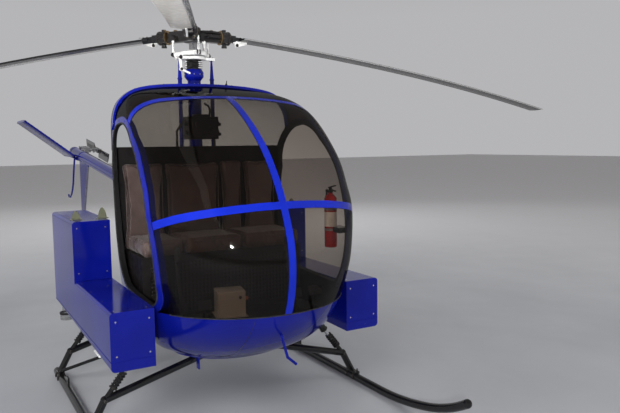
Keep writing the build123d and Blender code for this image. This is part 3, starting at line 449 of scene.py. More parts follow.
class Form:
    """mesh put together from turned, swept and boxed forms"""

    def __init__(self):
        self.bm = bmesh.new()

    def loops(self, rings, closed=False):
        """skin through rings of points"""
        rows = [[self.bm.verts.new(p) for p in ring] for ring in rings]
        count = len(rows[0])
        joins = list(zip(rows, rows[1:]))
        if closed:
            joins.append((rows[-1], rows[0]))
        for a, b in joins:
            for i in range(count):
                k = (i + 1) % count
                self.bm.faces.new((a[i], a[k], b[k], b[i]))
        if not closed:
            self.bm.faces.new(rows[0][::-1])
            self.bm.faces.new(rows[-1])

    def turned(self, start, way, profile, sides=20, closed=False):
        """turned form: distance along the line and radius of each ring"""
        u, v = square_to(way)
        w, start = Vector(way).normalized(), Vector(start)
        self.loops([[start + w * d + (u * cos(t) + v * sin(t)) * r for t in turns(sides)]
                    for d, r in profile], closed)

    def tube(self, points, radius, sides=10, closed=False):
        """round bar swept through points"""
        pts = [Vector(p) for p in points]
        n = len(pts)
        ways = []
        for i in range(n):
            a = pts[i - 1] if closed or i else pts[0]
            b = pts[(i + 1) % n] if closed or i < n - 1 else pts[-1]
            ways.append((b - a).normalized())
        side = ways[0].orthogonal().normalized()
        rings = []
        for p, w in zip(pts, ways):
            side = (side - w * side.dot(w)).normalized()
            up = w.cross(side)
            rings.append([p + (side * cos(t) + up * sin(t)) * radius for t in turns(sides)])
        self.loops(rings, closed)

    def coil(self, start, end, radius, wire, rounds, steps=14):
        """wire wound round a line"""
        u, v = square_to(end - start)
        n = rounds * steps
        angles = [2 * pi * i / steps for i in range(n + 1)]
        self.tube([start.lerp(end, i / n) + (u * cos(t) + v * sin(t)) * radius
                   for i, t in enumerate(angles)], wire, 7)

    def block(self, centre, size, soft, turn=None):
        """box with rounded edges"""
        made = bmesh.ops.create_cube(self.bm, size=1.0)["verts"]
        place = Matrix.Translation(Vector(centre)) @ (turn.to_4x4() if turn else Matrix.Identity(4))
        bmesh.ops.transform(self.bm, verts=made, matrix=place @ Matrix.Diagonal((*size, 1.0)))
        edges = list({e for v in made for e in v.link_edges})
        bmesh.ops.bevel(self.bm, geom=edges, offset=soft, segments=2, affect="EDGES", profile=0.5)

    def screw(self, place, way, head, high):
        """washer and domed screw head"""
        self.turned(Vector(place) - Vector(way).normalized() * 0.001, way, [
            (0.0, head * 1.6), (0.0018, head * 1.6), (0.002, head), (high * 0.7, head), (high, head * 0.7),
            (high * 1.12, head * 0.3)], 12)

    def pinned(self, node, start, way, head, high):
        """screw where a line first meets a CAD node; says whether it does"""
        hit = meets(node, start, way)
        if hit:
            self.screw(*hit, head, high)
        return bool(hit)

    def make(self, name, material, body=AIR):
        """finishes the mesh as a piece that rides on a body"""
        bmesh.ops.recalc_face_normals(self.bm, faces=self.bm.faces)
        mesh = bpy.data.meshes.new(name)
        self.bm.to_mesh(mesh)
        self.bm.free()
        mesh.shade_smooth()
        mesh.set_sharp_from_angle(angle=SHARP_FROM)
        mesh.materials.append(material)
        piece = bpy.data.objects.new(name, mesh)
        SCENE.collection.objects.link(piece)
        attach(piece, body)
        return piece


def meets(name, start, way):
    """where a line first meets a CAD node, and the outward direction there"""
    found, place, out, _ = NODES[name].ray_cast(Vector(start), Vector(way).normalized())
    if not found:
        return None
    return place, out if out.dot(Vector(way)) < 0 else -out


def turns(count, start=0.0):
    """angles of equal steps round a circle"""
    return [2 * pi * i / count + start for i in range(count)]


def polar(radius, angle, z=0.0):
    """point at a radius and an angle about the upright axis"""
    return Vector((radius * cos(angle), radius * sin(angle), z))


def mirrored(length, half):
    """turned profile whose second half mirrors the first over a length"""
    return half + [(length - d, r) for d, r in reversed(half)]


def arc(a, via, b, count):
    """points on the arc from a to b through via, in a plane"""
    (ax, ay), (bx, by), (cx, cy) = a, via, b
    d = 2 * (ax * (by - cy) + bx * (cy - ay) + cx * (ay - by))
    a2, b2, c2 = ax * ax + ay * ay, bx * bx + by * by, cx * cx + cy * cy
    ux = (a2 * (by - cy) + b2 * (cy - ay) + c2 * (ay - by)) / d
    uy = (a2 * (cx - bx) + b2 * (ax - cx) + c2 * (bx - ax)) / d
    r = ((ax - ux) ** 2 + (ay - uy) ** 2) ** 0.5
    t0, t1, t2 = (atan2(p[1] - uy, p[0] - ux) for p in (a, via, b))
    whole = (t2 - t0) % (2 * pi)
    if (t1 - t0) % (2 * pi) > whole:
        whole -= 2 * pi
    return [(ux + r * cos(t0 + whole * i / count), uy + r * sin(t0 + whole * i / count)) for i in range(count)]


# Door opening in side view, x and z: start, via and end of each arc
DOOR = [((0.400, 1.895), (0.200, 1.800), (0.140, 1.590)), ((0.140, 1.590), (0.120, 1.330), (0.168, 1.070)),
        ((0.168, 1.070), (0.255, 0.925), (0.430, 0.850)), ((0.430, 0.850), (0.655, 0.839), (0.880, 0.830)),
        ((0.880, 0.830), (0.985, 0.865), (1.030, 0.960)), ((1.030, 0.960), (1.045, 1.150), (1.000, 1.360)),
        ((1.000, 1.360), (0.890, 1.610), (0.700, 1.790)), ((0.700, 1.790), (0.560, 1.880), (0.400, 1.895))]
ARC_STEPS = 10


def door_line(grow):
    """points round the door opening, moved outwards"""
    pts = [Vector(p) for row in DOOR for p in arc(*row, ARC_STEPS)]
    out = []
    for i, p in enumerate(pts):
        way = (pts[(i + 1) % len(pts)] - pts[i - 1]).normalized()
        out.append(p + Vector((-way.y, way.x)) * -grow)
    return out


def side_name(side):
    """left or right from the sign of y"""
    return "left" if side > 0 else "right"


# Cabin: door seals, hoop screws, band screws, window gasket
FAR = 3     # rays start this far out
for side in (-1, 1):
    frame_node = "door_frame_" + side_name(side)
    seal, screws = Form(), Form()
    ring = []
    for x, z in door_line(0.004):
        hit = meets(frame_node, (x, side * FAR, z), PORT * -side)
        if hit:
            ring.append(hit[0] - PORT * (side * 0.002))
    seal.tube(ring, 0.0055, 8, closed=True)
    seal.make("door_seal_" + side_name(side), RUBBER)
    for x, z in door_line(0.024)[::4]:
        screws.pinned(frame_node, (x, side * FAR, z), PORT * -side, 0.0032, 0.0022)
    screws.make("hoop_screws_" + side_name(side), BLUE)

bolts = Form()
for y in [0.11 * i for i in range(-5, 6) if i]:
    for z in (1.44, 1.40, 1.36, 1.32, 1.29):
        if bolts.pinned("windshield_frame", (FAR, y, z), -AHEAD, 0.0028, 0.002):
            break
for z in (0.86, 0.98, 1.10, 1.22, 1.34, 1.50, 1.62, 1.74, 1.86, 1.96):
    bolts.pinned("windshield_frame", (FAR, 0, z), -AHEAD, 0.0028, 0.002)
for y in [0.1 * i for i in range(-5, 6)]:
    for name, x in (("windshield_frame", 0.62), ("roof_bow", 0.225)):
        bolts.pinned(name, (x, y, FAR), -UP, 0.0030, 0.002)
bolts.make("band_screws", STRIP)

gasket = Form()
rim_hits = [meets("nose_belly", (FAR, 0.0125 * i, 0.797), -AHEAD) for i in range(-46, 47)]
gasket.tube([hit[0] + Vector((0.0005, 0, 0.0025)) for hit in rim_hits if hit], 0.0042, 8)
gasket.make("windshield_gasket", RUBBER)

# Seam of the nose panel and its screws
SEAM_Y, SEAM_TOP = -0.19, 0.775
seam, seam_screws = Form(), Form()
line = []
for i in range(24):
    hit = meets("nose_belly", (FAR, SEAM_Y - 0.0012 * i, SEAM_TOP - i * 0.0145), -AHEAD)
    if hit:
        line.append(hit[0] + hit[1] * 0.0002)
        if i % 5 == 2:
            seam_screws.screw(hit[0] + PORT * 0.016, hit[1], 0.0026, 0.0018)
seam.tube(line, 0.0016, 6)
seam.make("nose_seam", PLASTIC)
seam_screws.make("nose_screws", STEEL)

# Battery boxes: screws, tray seam, lifting tabs, filler plates
BOX_IN, BOX_OUT, BOX_FRONT, BOX_STEP, BOX_REAR = 0.652, 0.905, 1.020, 0.025, -0.800
BOX_LOW, BOX_HIGH, TRAY_Z = 0.842, 1.251, 0.562
TAB_X, PLUG_Y, LIP = -0.11, 0.845, 0.0012
for side in (-1, 1):
    place = side_name(side)
    screws, trim, tabs, plate = Form(), Form(), Form(), Form()
    for y in (side * 0.683, side * 0.872):
        for x, way, heights in ((BOX_FRONT, AHEAD, (0.789, 0.592)), (BOX_STEP, AHEAD, (1.205, 0.895)),
                                (BOX_REAR, -AHEAD, (1.205, 0.895, 0.60))):
            for z in heights:
                screws.screw((x, y, z), way, 0.0032, 0.003)
        for z, places in ((BOX_LOW, (0.10, 0.40, 0.70, 0.97)), (BOX_HIGH, (-0.75, -0.52, -0.28, -0.03))):
            for x in places:
                screws.screw((x, y, z), UP, 0.0036, 0.0025)
    for x in (0.95, 0.60, 0.25, -0.10, -0.45, -0.75):
        screws.screw((x, side * BOX_OUT, TRAY_Z + 0.022), PORT * side, 0.0030, 0.002)
    screws.make("box_screws_" + place, CHROME)
    trim.tube([(x, side * y, z) for x, y, z in (
        (BOX_FRONT + LIP, BOX_IN + 0.004, TRAY_Z), (BOX_FRONT + LIP, BOX_OUT - 0.006, TRAY_Z),
        (BOX_FRONT - 0.006, BOX_OUT + LIP, TRAY_Z), (BOX_REAR + 0.006, BOX_OUT + LIP, TRAY_Z + 0.004),
        (BOX_REAR - LIP, BOX_OUT - 0.006, TRAY_Z + 0.004), (BOX_REAR - LIP, BOX_IN + 0.004, TRAY_Z + 0.004))],
        0.0024, 8)
    trim.tube([(BOX_STEP + LIP, side * y, BOX_LOW + 0.003) for y in (BOX_IN + 0.008, BOX_OUT - 0.012)],
              0.0035, 8)
    trim.make("box_seams_" + place, BLUE)
    for y, high in ((0.852, 0.062), (0.672, 0.078)):
        rings = []
        for share, width in ((0.0, 0.044), (0.35, 0.040), (0.7, 0.029), (0.9, 0.016), (1.0, 0.006)):
            rings.append([(TAB_X + a, side * y + b * width * 0.7, BOX_HIGH - 0.001 + high * share)
                          for a, b in ((-0.004, -1), (0.004, -1), (0.004, 1), (-0.004, 1))])
        tabs.loops(rings)
        tabs.block((TAB_X, side * y, BOX_HIGH + 0.002), (0.034, 0.080, 0.005), 0.0015)
        for dy in (-0.033, 0.033):
            tabs.screw((TAB_X + 0.010, side * y + dy, BOX_HIGH + 0.0045), UP, 0.003, 0.002)
    tabs.make("box_tabs_" + place, TAB)
    plate.block((0.55, side * PLUG_Y, 0.482), (0.15, 0.085, 0.010), 0.003)
    for x in (0.49, 0.61):
        plate.block((x, side * PLUG_Y, 0.500), (0.016, 0.070, 0.034), 0.003)
    for x in (0.50, 0.55, 0.60):
        plate.turned((x, side * PLUG_Y, 0.478), -UP,
                     [(0, 0.016), (0.006, 0.016), (0.008, 0.012), (0.003, 0.008)], 16)
    plate.make("box_plug_" + place, CREAM)

# Landing lamp: dark rim and screws
low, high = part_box("landing_light")
lamp_x, lamp_y = [(low[i] + high[i]) / 2 for i in range(2)]
rim = Form()
rim.turned((lamp_x, lamp_y, high[2] - 0.044), -UP, [
    (-0.004, 0.047), (-0.004, 0.051), (0.004, 0.052), (0.012, 0.050), (0.012, 0.0475)], 28, closed=True)
for t in turns(4, pi / 4):
    rim.screw((lamp_x + 0.051 * cos(t), lamp_y + 0.051 * sin(t), high[2] - 0.046), polar(1, t), 0.0028, 0.002)
rim.make("lamp_rim", PLASTIC)

# Landing gear: damper pistons and springs, clamps at knees and saddles
SKID_Y, SKID_R, KNEE_Z, LUG_Y, LUG_Z = 0.945, 0.0285, 0.210, 0.590, 0.560
KNEE_Y, SADDLE_R = SKID_Y - 0.078, SKID_R + 0.003
FRONT_X, REAR_X = 0.63, -0.50
DAMPER_START, FRONT_EYE, REAR_EYE = 0.0823, 0.0223, 0.0369
for side in (-1, 1):
    piston, spring, clamp = Form(), Form(), Form()
    for x in (FRONT_X, REAR_X):
        knee, lug = Vector((x, side * KNEE_Y, KNEE_Z)), Vector((x, side * LUG_Y, LUG_Z))
        way = (lug - knee).normalized()
        reach = (lug - knee).length - (FRONT_EYE if x > 0 else REAR_EYE)
        start, span = DAMPER_START, reach - DAMPER_START
        a, b = start + span * 0.34, start + span * 0.50
        piston.turned(knee + way * (a + 0.001), way, [
            (0, 0.0155), (0.008, 0.0155), (0.009, 0.0128), (b - a - 0.010, 0.0128),
            (b - a - 0.009, 0.0165), (b - a - 0.002, 0.0165)], 24)
        spring.coil(knee + way * (start + 0.012), knee + way * (a - 0.004), 0.0245, 0.0034, 5)
        for at, r in ((start + 0.004, 0.027), (a - 0.001, 0.024), (b + 0.006, 0.0285),
                      (start + span * 0.74, 0.0285)):
            clamp.turned(knee + way * at, way, mirrored(0, [(-0.005, r * 0.93), (-0.004, r)]), 24)
        for dx in (-1, 1):
            clamp.turned(knee + AHEAD * (dx * 0.024), AHEAD * dx,
                         [(0, 0.013), (0.008, 0.013), (0.010, 0.010), (0.018, 0.010), (0.020, 0.007)], 6)
        for dx in (-0.030, 0.055):
            for e in (-0.006, 0.006):
                bow = [radians(t) for t in range(-25, 206, 15)]
                clamp.tube([(x + dx + e, side * SKID_Y + SADDLE_R * cos(t), SKID_R + SADDLE_R * sin(t))
                            for t in bow], 0.0042, 8)
            for dy in (-1, 1):
                clamp.turned((x + dx, side * SKID_Y + dy * 0.014, 0.0705), UP,
                             [(0, 0.0085), (0.007, 0.0085), (0.008, 0.005), (0.016, 0.005), (0.017, 0.003)], 6)
    piston.make("damper_pistons_" + side_name(side), CHROME)
    spring.make("damper_springs_" + side_name(side), BLACK)
    clamp.make("gear_clamps_" + side_name(side), FITTING)

# Rotor head: drums, horns, links, scissor, cap
ARM_Z, LAG_R, LINK_R, HORN_TURN = 2.550, 0.255, 0.150, radians(18)
LINK_LOW_Z, LINK_HIGH_Z, CAP_Z, COLLAR_Z = 2.417, 2.533, 2.6005, 2.500
drums, grease, horns, ends = Form(), Form(), Form(), Form()
for azimuth, lag in BLADES.values():
    out = polar(1, radians(azimuth))
    across = UP.cross(out)

    def on_arm(along, beside=0, above=0):
        """point of the hub arm: along it, beside it and above its middle"""
        return UP * ARM_Z + out * along + across * beside + UP * above

    drums.turned(on_arm(0.221), out, [
        (0, 0.030), (0.001, 0.047), (0.010, 0.050), (0.012, 0.046), (0.058, 0.046), (0.060, 0.051),
        (0.070, 0.051), (0.073, 0.044), (0.086, 0.034)], 28)
    for t in turns(6, 0.3):
        ends.screw(on_arm(0.291) + (across * cos(t) + UP * sin(t)) * 0.040, out, 0.0035, 0.004)
    grease.turned(on_arm(0.213), out, mirrored(0.009, [(0, 0.040), (0.002, 0.052)]), 28)
    grease.turned(on_arm(0.150, 0, 0.034), UP,
                  [(0, 0.020), (0.006, 0.020), (0.008, 0.014), (0.016, 0.014), (0.018, 0.008)], 16)
    for part, path, radius, sides in (
            (grease, ((0.190, 0.020, 0.030), (0.215, 0.030, 0.044), (0.245, 0.014, 0.056)), 0.006, 8),
            (drums, ((0.060, -0.030, 0.030), (0.130, -0.037, 0.033), (0.205, -0.030, 0.030)), 0.010, 10)):
        part.tube([on_arm(*place) for place in path], radius, sides)
    along = polar(1, radians(azimuth + lag))
    wide = UP.cross(along)
    hinge = on_arm(LAG_R)
    rings = []
    for r, top, low in ((0.070, -0.010, -0.030), (0.095, -0.016, -0.062), (0.130, -0.018, -0.050),
                        (0.185, -0.020, -0.030)):
        rings.append([hinge + along * r + wide * e + UP * z
                      for e, z in ((-0.026, top), (-0.012, top), (-0.012, low), (-0.026, low))])
    horns.loops(rings)
    ends.turned(hinge + along * 0.098 - wide * 0.030 - UP * 0.045, wide,
                mirrored(0.023, [(0, 0.010), (0.003, 0.013)]), 14)
    for r in (0.135, 0.165, 0.195):
        for e in (-0.012, 0.016):
            ends.screw(hinge + along * r + wide * e + UP * (0.022 - r * 0.061), UP, 0.0045, 0.004)
    h = radians(azimuth) + HORN_TURN
    spot = polar(LINK_R, h)
    round_way = UP.cross(polar(1, h))
    for z, r in ((LINK_LOW_Z, 0.0165), (LINK_HIGH_Z, 0.0135)):
        ends.turned(spot + UP * z - round_way * 0.013, round_way,
                    mirrored(0.026, [(0, 0.006), (0.001, r), (0.006, r), (0.007, 0.008)]), 16)
    for z in (2.440, 2.512):
        horns.turned(spot + UP * z, UP, mirrored(0, [(-0.006, 0.0085), (-0.005, 0.0105)]), 6)
    horns.block(polar(0.095, h, LINK_LOW_Z), (0.095, 0.046, 0.030), 0.006, Matrix.Rotation(h, 3, "Z"))
drums.make("hub_drums", FITTING, MAIN)
grease.make("hub_grease", OIL, MAIN)
horns.make("pitch_horns", WHITE, MAIN)
ends.make("rod_ends", FITTING, MAIN)

cap, scissor = Form(), Form()
cap.turned((0, 0, CAP_Z), UP, [(-0.004, 0.056), (0.004, 0.056), (0.006, 0.050), (0.010, 0.036)], 32)
for t in turns(8):
    cap.screw(polar(0.047, t, 2.605), UP, 0.0042, 0.005)
cap.turned((0, 0, COLLAR_Z), UP,
           [(0, 0.040), (0.002, 0.066), (0.006, 0.068), (0.010, 0.066), (0.012, 0.058)], 32)
cap.make("hub_cap", DARKCAST, MAIN)
links = [(-0.004, 0.088, 2.440), (-0.002, 0.083, 2.478), (0.004, 0.078, 2.508), (0.004, 0.046, 2.496),
         (0.002, 0.034, 2.485)]
scissor.tube(links[:3], 0.0095, 12)
scissor.tube(links[2:], 0.0085, 12)
for p, r in ((links[0], 0.015), (links[2], 0.014)):
    scissor.turned(Vector(p) - AHEAD * 0.014, AHEAD, mirrored(0.028, [(0, r * 0.6), (0.002, r)]), 16)
scissor.make("drive_scissor", WHITE, MAIN)

# Mast: boot clips, flare bolts, rod ends under the fixed plate, collars, probe on the bow
ROD_YS = (-0.108, 0.138)
clips, flare, lower, collars, probe = Form(), Form(), Form(), Form(), Form()
for z in [2.317 + i * 0.0145 for i in range(4)]:
    for middle in (60, 240):
        clips.tube([polar(0.066, radians(t), z + 0.003 * sin(radians(t - middle)))
                    for t in range(middle - 42, middle + 43, 7)], 0.0035, 8)
        for t in (middle - 42, middle + 42):
            clips.tube([polar(r, radians(t), z) for r in (0.066, 0.057)], 0.003, 8)
clips.make("boot_clips", CREAM)
for t in [2 * pi * (i + 0.5) / 10 for i in range(10)]:
    flare.screw(polar(0.0695, t, 2.270), polar(1, t), 0.0030, 0.004)
    flare.screw(polar(0.0475, t, 2.200), polar(1, t), 0.0026, 0.003)
flare.make("mast_bolts", STEEL)
for y, x in ((ROD_YS[0], 0.0), (ROD_YS[1], 0.0), (-0.116, 0.046)):
    lower.turned((x - 0.016, y, 2.386), AHEAD,
                 mirrored(0.032, [(0, 0.007), (0.001, 0.014), (0.007, 0.014), (0.008, 0.009)]), 16)
lower.turned((0.030, -0.112, 2.302), AHEAD, mirrored(0.032, [(0, 0.006), (0.002, 0.011)]), 16)
lower.make("plate_rod_ends", FITTING)
for y in ROD_YS:
    for z, r in ((2.238, 0.018), (2.196, 0.017), (2.330, 0.010), (1.790, 0.018)):
        collars.turned((0, y, z), UP, mirrored(0, [(-0.006, r * 0.85), (-0.004, r)]), 20)
collars.make("rod_collars", BLUE)
probe.tube([(0.236, 0.152, 2.100), (0.236, 0.152, 2.150), (0.238, 0.155, 2.212)], 0.0032, 8)
probe.turned((0.236, 0.152, 2.128), UP, [(0, 0.009), (0.006, 0.009), (0.008, 0.005)], 12)
hit = meets("roof_bow", (0.236, 0.152, FAR), -UP)
if hit:
    probe.turned(hit[0] - UP * 0.001, UP, [(0, 0.010), (0.004, 0.010), (0.006, 0.006), (0.012, 0.004)], 14)
probe.make("bow_probe", BLACK)

# Tail: boom clamps and end cap, gearbox bolts, fin rivets, pushrod, fin edge
BOOM_R, SLOPE = 0.062, 0.1095
TAIL_X, TAIL_Z = -4.66, 1.70
boom_way = Vector((-1, 0, SLOPE)).normalized()


def boom_at(x):
    """point on the boom centreline"""
    return Vector((x, 0, 1.238 - (x + 0.640) * SLOPE))


clamps, boom_bolts, pushrod, edge = Form(), Form(), Form(), Form()
for x, wide in ((-0.70, 0.030), (-2.30, 0.034), (-4.14, 0.022), (TAIL_X, 0.030)):
    clamps.turned(boom_at(x) - boom_way * wide, boom_way,
                  mirrored(2 * wide, [(0, BOOM_R), (0.001, BOOM_R + 0.004)]), 40)
    u, v = square_to(boom_way)
    for t in turns(8):
        ray = u * cos(t) + v * sin(t)
        boom_bolts.screw(boom_at(x) + ray * (BOOM_R + 0.0035), ray, 0.0045, 0.004)
clamps.turned(boom_at(-4.726), boom_way, [
    (0, BOOM_R + 0.001), (0.004, BOOM_R + 0.001), (0.012, 0.050), (0.018, 0.030), (0.019, 0.004)], 40)
clamps.make("boom_clamps", BLUE)
for x in (-4.71, -4.61):
    for z in (1.657, 1.743):
        boom_bolts.screw((x, 0.162, z), PORT, 0.0055, 0.005)
for t in turns(6):
    boom_bolts.screw((TAIL_X + 0.024 * cos(t), 0.200, TAIL_Z + 0.024 * sin(t)), PORT, 0.0030, 0.004)
for k in range(11):
    for side in (-1, 1):
        for x in (-4.335, -4.335 + 0.06 + k * 0.030):
            boom_bolts.pinned("fin", (x, side, 0.93 + k * 0.062), PORT * -side, 0.0028, 0.0018)
boom_bolts.make("tail_bolts", STEEL)
pushrod.tube([boom_at(x) + (PORT * 0.058 + UP * 0.044) for x in (-0.75, -2.3, -4.45)], 0.005, 8)
for x in (-1.1, -1.9, -2.7, -3.5, -4.2):
    pushrod.block(boom_at(x) + PORT * 0.053 + UP * 0.038, (0.022, 0.020, 0.026), 0.003)
pushrod.make("tail_pushrod", FITTING)
(top_x, top_z), (foot_x, foot_z) = (-3.830, 1.522), (-4.200, 0.880)
rings = []
for i in range(33):
    x, z = top_x + i / 32 * (foot_x - top_x), top_z + i / 32 * (foot_z - top_z)
    if z < 1.515:
        bulge = 0.0008 * noise.noise(Vector((x * 30, 0, z * 30)))
        rings.append([(x - 0.028, -0.0088, z), (x - 0.004, -0.0092, z), (x + 0.0055 + bulge, 0, z - 0.002),
                      (x - 0.004, 0.0092, z), (x - 0.028, 0.0088, z)])
edge.loops(rings)
edge.make("fin_edge", CHIPPED)

# Stabiliser: skin in place of the plain CAD one, with ribs, rivets and brackets
STAB_X, STAB_CANT, STAB_TILT = -4.430, radians(-37.5), radians(8)
STAB_CHORD, STAB_TIP, STAB_ROOT, STAB_DROP = 0.460, -0.800, -0.085, 0.0228
plane = (Matrix.Translation(boom_at(STAB_X)) @ Matrix.Rotation(atan2(SLOPE, 1), 4, "Y")
         @ Matrix.Rotation(STAB_CANT, 4, "X"))
section = []
for t in turns(28):
    share = (1 + cos(t)) / 2
    half = 0.128 * STAB_CHORD * (0.2969 * share ** 0.5 + 0.02 - 0.1260 * share - 0.3516 * share ** 2
                                 + 0.2843 * share ** 3 - 0.0600 * share ** 4) * 5 * 0.62
    section.append(((0.5 - share) * STAB_CHORD, half if sin(t) >= 0 else -half))


def stab_point(px, pz, y):
    """point of the tilted section at a span station"""
    c, s = cos(STAB_TILT), sin(STAB_TILT)
    return plane @ Vector((px * c - pz * s, y, px * s + pz * c - BOOM_R - STAB_DROP))


def stab_ring(y, grow=0.0, shrink=1.0):
    """section of the stabiliser at a span station"""
    return [stab_point(px * shrink, (pz + (grow if pz > 0 else -grow)) * shrink, y) for px, pz in section]


skin, ribs, root = Form(), Form(), Form()
stations = [STAB_ROOT + (STAB_TIP - STAB_ROOT) * i / 14 for i in range(15)]
skin.loops([stab_ring(STAB_ROOT + 0.002, shrink=0.9)] + [stab_ring(y) for y in stations]
           + [stab_ring(STAB_TIP - 0.006, shrink=0.93)])
for y in (STAB_ROOT - 0.004, STAB_TIP + 0.010):
    ribs.loops([stab_ring(y + e, 0.0022) for e in (0.007, -0.007)])
for i in range(1, 12):
    y = STAB_ROOT + (STAB_TIP - STAB_ROOT) * i / 12
    for share, up in ((0.30, 1), (0.30, -1), (-0.25, 1), (-0.25, -1)):
        normal = (plane.to_3x3() @ Vector((-sin(STAB_TILT) * up, 0, cos(STAB_TILT) * up))).normalized()
        spot = stab_point(share * STAB_CHORD, up * (0.026 if share > 0 else 0.024), y)
        ribs.screw(spot, normal, 0.0030, 0.0022)
stab = skin.make("stabiliser_skin", BLUE)
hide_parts("stabiliser")
ribs.make("stabiliser_ribs", BLUE)
for x in (-4.55, -4.32):
    c = boom_at(x)
    spot = plane @ Vector((x - STAB_X, STAB_ROOT - 0.02, (x - STAB_X) * sin(STAB_TILT) - BOOM_R - 0.023))
    root.tube([c + Vector((0, -0.030, -0.058)), c + Vector((0, -0.055, -0.050)), spot], 0.016, 12)
    root.block(c + Vector((0, -0.026, -0.062)), (0.060, 0.050, 0.020), 0.004,
               Matrix.Rotation(radians(-25), 3, "X"))
root.make("stabiliser_brackets", BLUE)

# Tail rotor: nut, plate, blade bolts, pitch links and grips
tail_fit, tail_plates = Form(), Form()
hub = Vector((TAIL_X, 0.29, TAIL_Z))
lie = radians(7)
along = Vector((cos(lie), 0, -sin(lie)))
up = along.cross(PORT)
tail_fit.turned(hub + PORT * 0.024, PORT,
                [(0, 0.022), (0.010, 0.022), (0.014, 0.016), (0.030, 0.016), (0.034, 0.008)], 20)
tail_fit.turned(hub - PORT * 0.060, PORT, mirrored(0.016, [(0, 0.018), (0.002, 0.034)]), 20)
for way in (-1, 1):
    for r in (0.085, 0.112, 0.150, 0.190):
        tail_fit.screw(hub + along * way * r + PORT * (0.024 if r < 0.12 else 0.010), PORT, 0.006, 0.006)
    tail_fit.tube([hub + up * way * 0.030 - PORT * 0.052,
                   hub + up * way * 0.040 + along * way * 0.06 - PORT * 0.030,
                   hub + up * way * 0.036 + along * way * 0.125 - PORT * 0.006], 0.006, 10)
    tail_plates.block(hub + along * way * 0.165, (0.110, 0.024, 0.060), 0.004, Matrix.Rotation(lie, 3, "Y"))
tail_fit.make("tail_hub_fittings", STEEL, TAIL)
tail_plates.make("tail_grips", FITTING, TAIL)

# Seats: padded by cloth simulation, channels and piping afterwards
SEAT_CAP, SEAT_VOXEL, SEAT_STEPS = 0.026, 0.009, 16
SEAT_PRESSURE, SEAT_STIFFNESS, SEAT_SHRINK = 4.0, 22.0, -0.03
SEAT_INSET, SEAT_FILL, KEEP_IN = 0.004, 0.75, 0.0008
CHANNEL_DEEP, CHANNEL_WIDE, CROWN, PULL_IN = 0.017, 0.020, 0.006, 0.006
# name, middle in y, width, number of channels
CUSHIONS = (("right", -0.435, 0.290, 2), ("centre", -0.078, 0.415, 3), ("left", 0.355, 0.440, 3))
BACKS = (("right", -0.435, 0.290, 2), ("centre", -0.078, 0.415, 3), ("inner", 0.220, 0.165, 1),
         ("left", 0.450, 0.260, 2))


def pad_object(name, low, high, round_edge):
    """closed rounded box between two corners, divided finely enough to bend"""
    bm = bmesh.new()
    made = bmesh.ops.create_cube(bm, size=1.0)["verts"]
    size = [h - l for l, h in zip(low, high)]
    mid = [(h + l) / 2 for l, h in zip(low, high)]
    bmesh.ops.transform(bm, verts=made, matrix=Matrix.Translation(mid) @ Matrix.Diagonal((*size, 1.0)))
    bmesh.ops.bevel(bm, geom=bm.edges[:], offset=round_edge, segments=3, affect="EDGES", profile=0.5)
    mesh = bpy.data.meshes.new(name)
    bm.to_mesh(mesh)
    bm.free()
    piece = bpy.data.objects.new(name, mesh)
    SCENE.collection.objects.link(piece)
    mesh.remesh_voxel_size = SEAT_VOXEL
    bpy.context.view_layer.objects.active = piece
    piece.select_set(True)
    bpy.ops.object.voxel_remesh()
    return piece


def inflate(piece):
    """cloth simulation under pressure, its result applied and held to a cap"""
    start = [v.co.copy() for v in piece.data.vertices]
    cloth = piece.modifiers.new("cloth", "CLOTH")
    cloth.settings.quality = 4
    cloth.settings.use_pressure = True
    cloth.settings.uniform_pressure_force = SEAT_PRESSURE
    cloth.settings.effector_weights.gravity = 0.0
    cloth.settings.tension_stiffness = cloth.settings.compression_stiffness = SEAT_STIFFNESS
    cloth.settings.shrink_min = SEAT_SHRINK
    cloth.point_cache.frame_start, cloth.point_cache.frame_end = 1, SEAT_STEPS
    for step in range(1, SEAT_STEPS + 1):
        SCENE.frame_set(step)
    shaped = piece.evaluated_get(bpy.context.evaluated_depsgraph_get())
    moved = [v.co.copy() for v in shaped.data.vertices]
    piece.modifiers.remove(cloth)
    SCENE.frame_set(1)
    for v, a, b in zip(piece.data.vertices, start, moved):
        step = b - a
        if step.length > SEAT_CAP:
            step *= SEAT_CAP / step.length
        v.co = a + step


def sew(piece, low, high, face, channels):
    """channels that run up the face, a crown, sides pulled in; all stays in the pad's space"""
    width = high[1] - low[1]
    other = 2 if face == 0 else 0
    for v in piece.data.vertices:
        share = (v.co.y - low[1]) / width
        run = (v.co[other] - low[other]) / (high[other] - low[other])
        deep = (v.co[face] - low[face]) / (high[face] - low[face])
        bow = sin(pi * min(max(run, 0), 1))
        if deep > 0.45:
            for k in range(1, channels + 1):
                gap = abs(share - k / (channels + 1)) * width
                fade = min(1.0, 8 * run, 8 * (1 - run) + 0.35)
                v.co[face] -= CHANNEL_DEEP * max(0.0, 1 - gap / CHANNEL_WIDE) ** 1.6 * fade
            v.co[face] += CROWN * sin(pi * min(max(share, 0), 1)) * bow
        v.co.y += (0.5 - share) * PULL_IN * bow
        for i in range(3):
            v.co[i] = min(max(v.co[i], low[i] + KEEP_IN), high[i] - KEEP_IN)


def padded(name, low, high, face, channels, round_edge, node):
    """one leather pad in place of a CAD node; face is the axis that it looks along"""
    piece = pad_object(name, [v + SEAT_INSET for v in low], [v - SEAT_INSET for v in high], round_edge)
    inflate(piece)
    sew(piece, low, high, face, channels)
    piece.data.materials.clear()
    piece.data.materials.append(LEATHER)
    fine = piece.modifiers.new("fine", "SUBSURF")
    fine.levels = fine.render_levels = 1
    piece.data.shade_smooth()
    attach(piece, AIR)
    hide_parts(node)


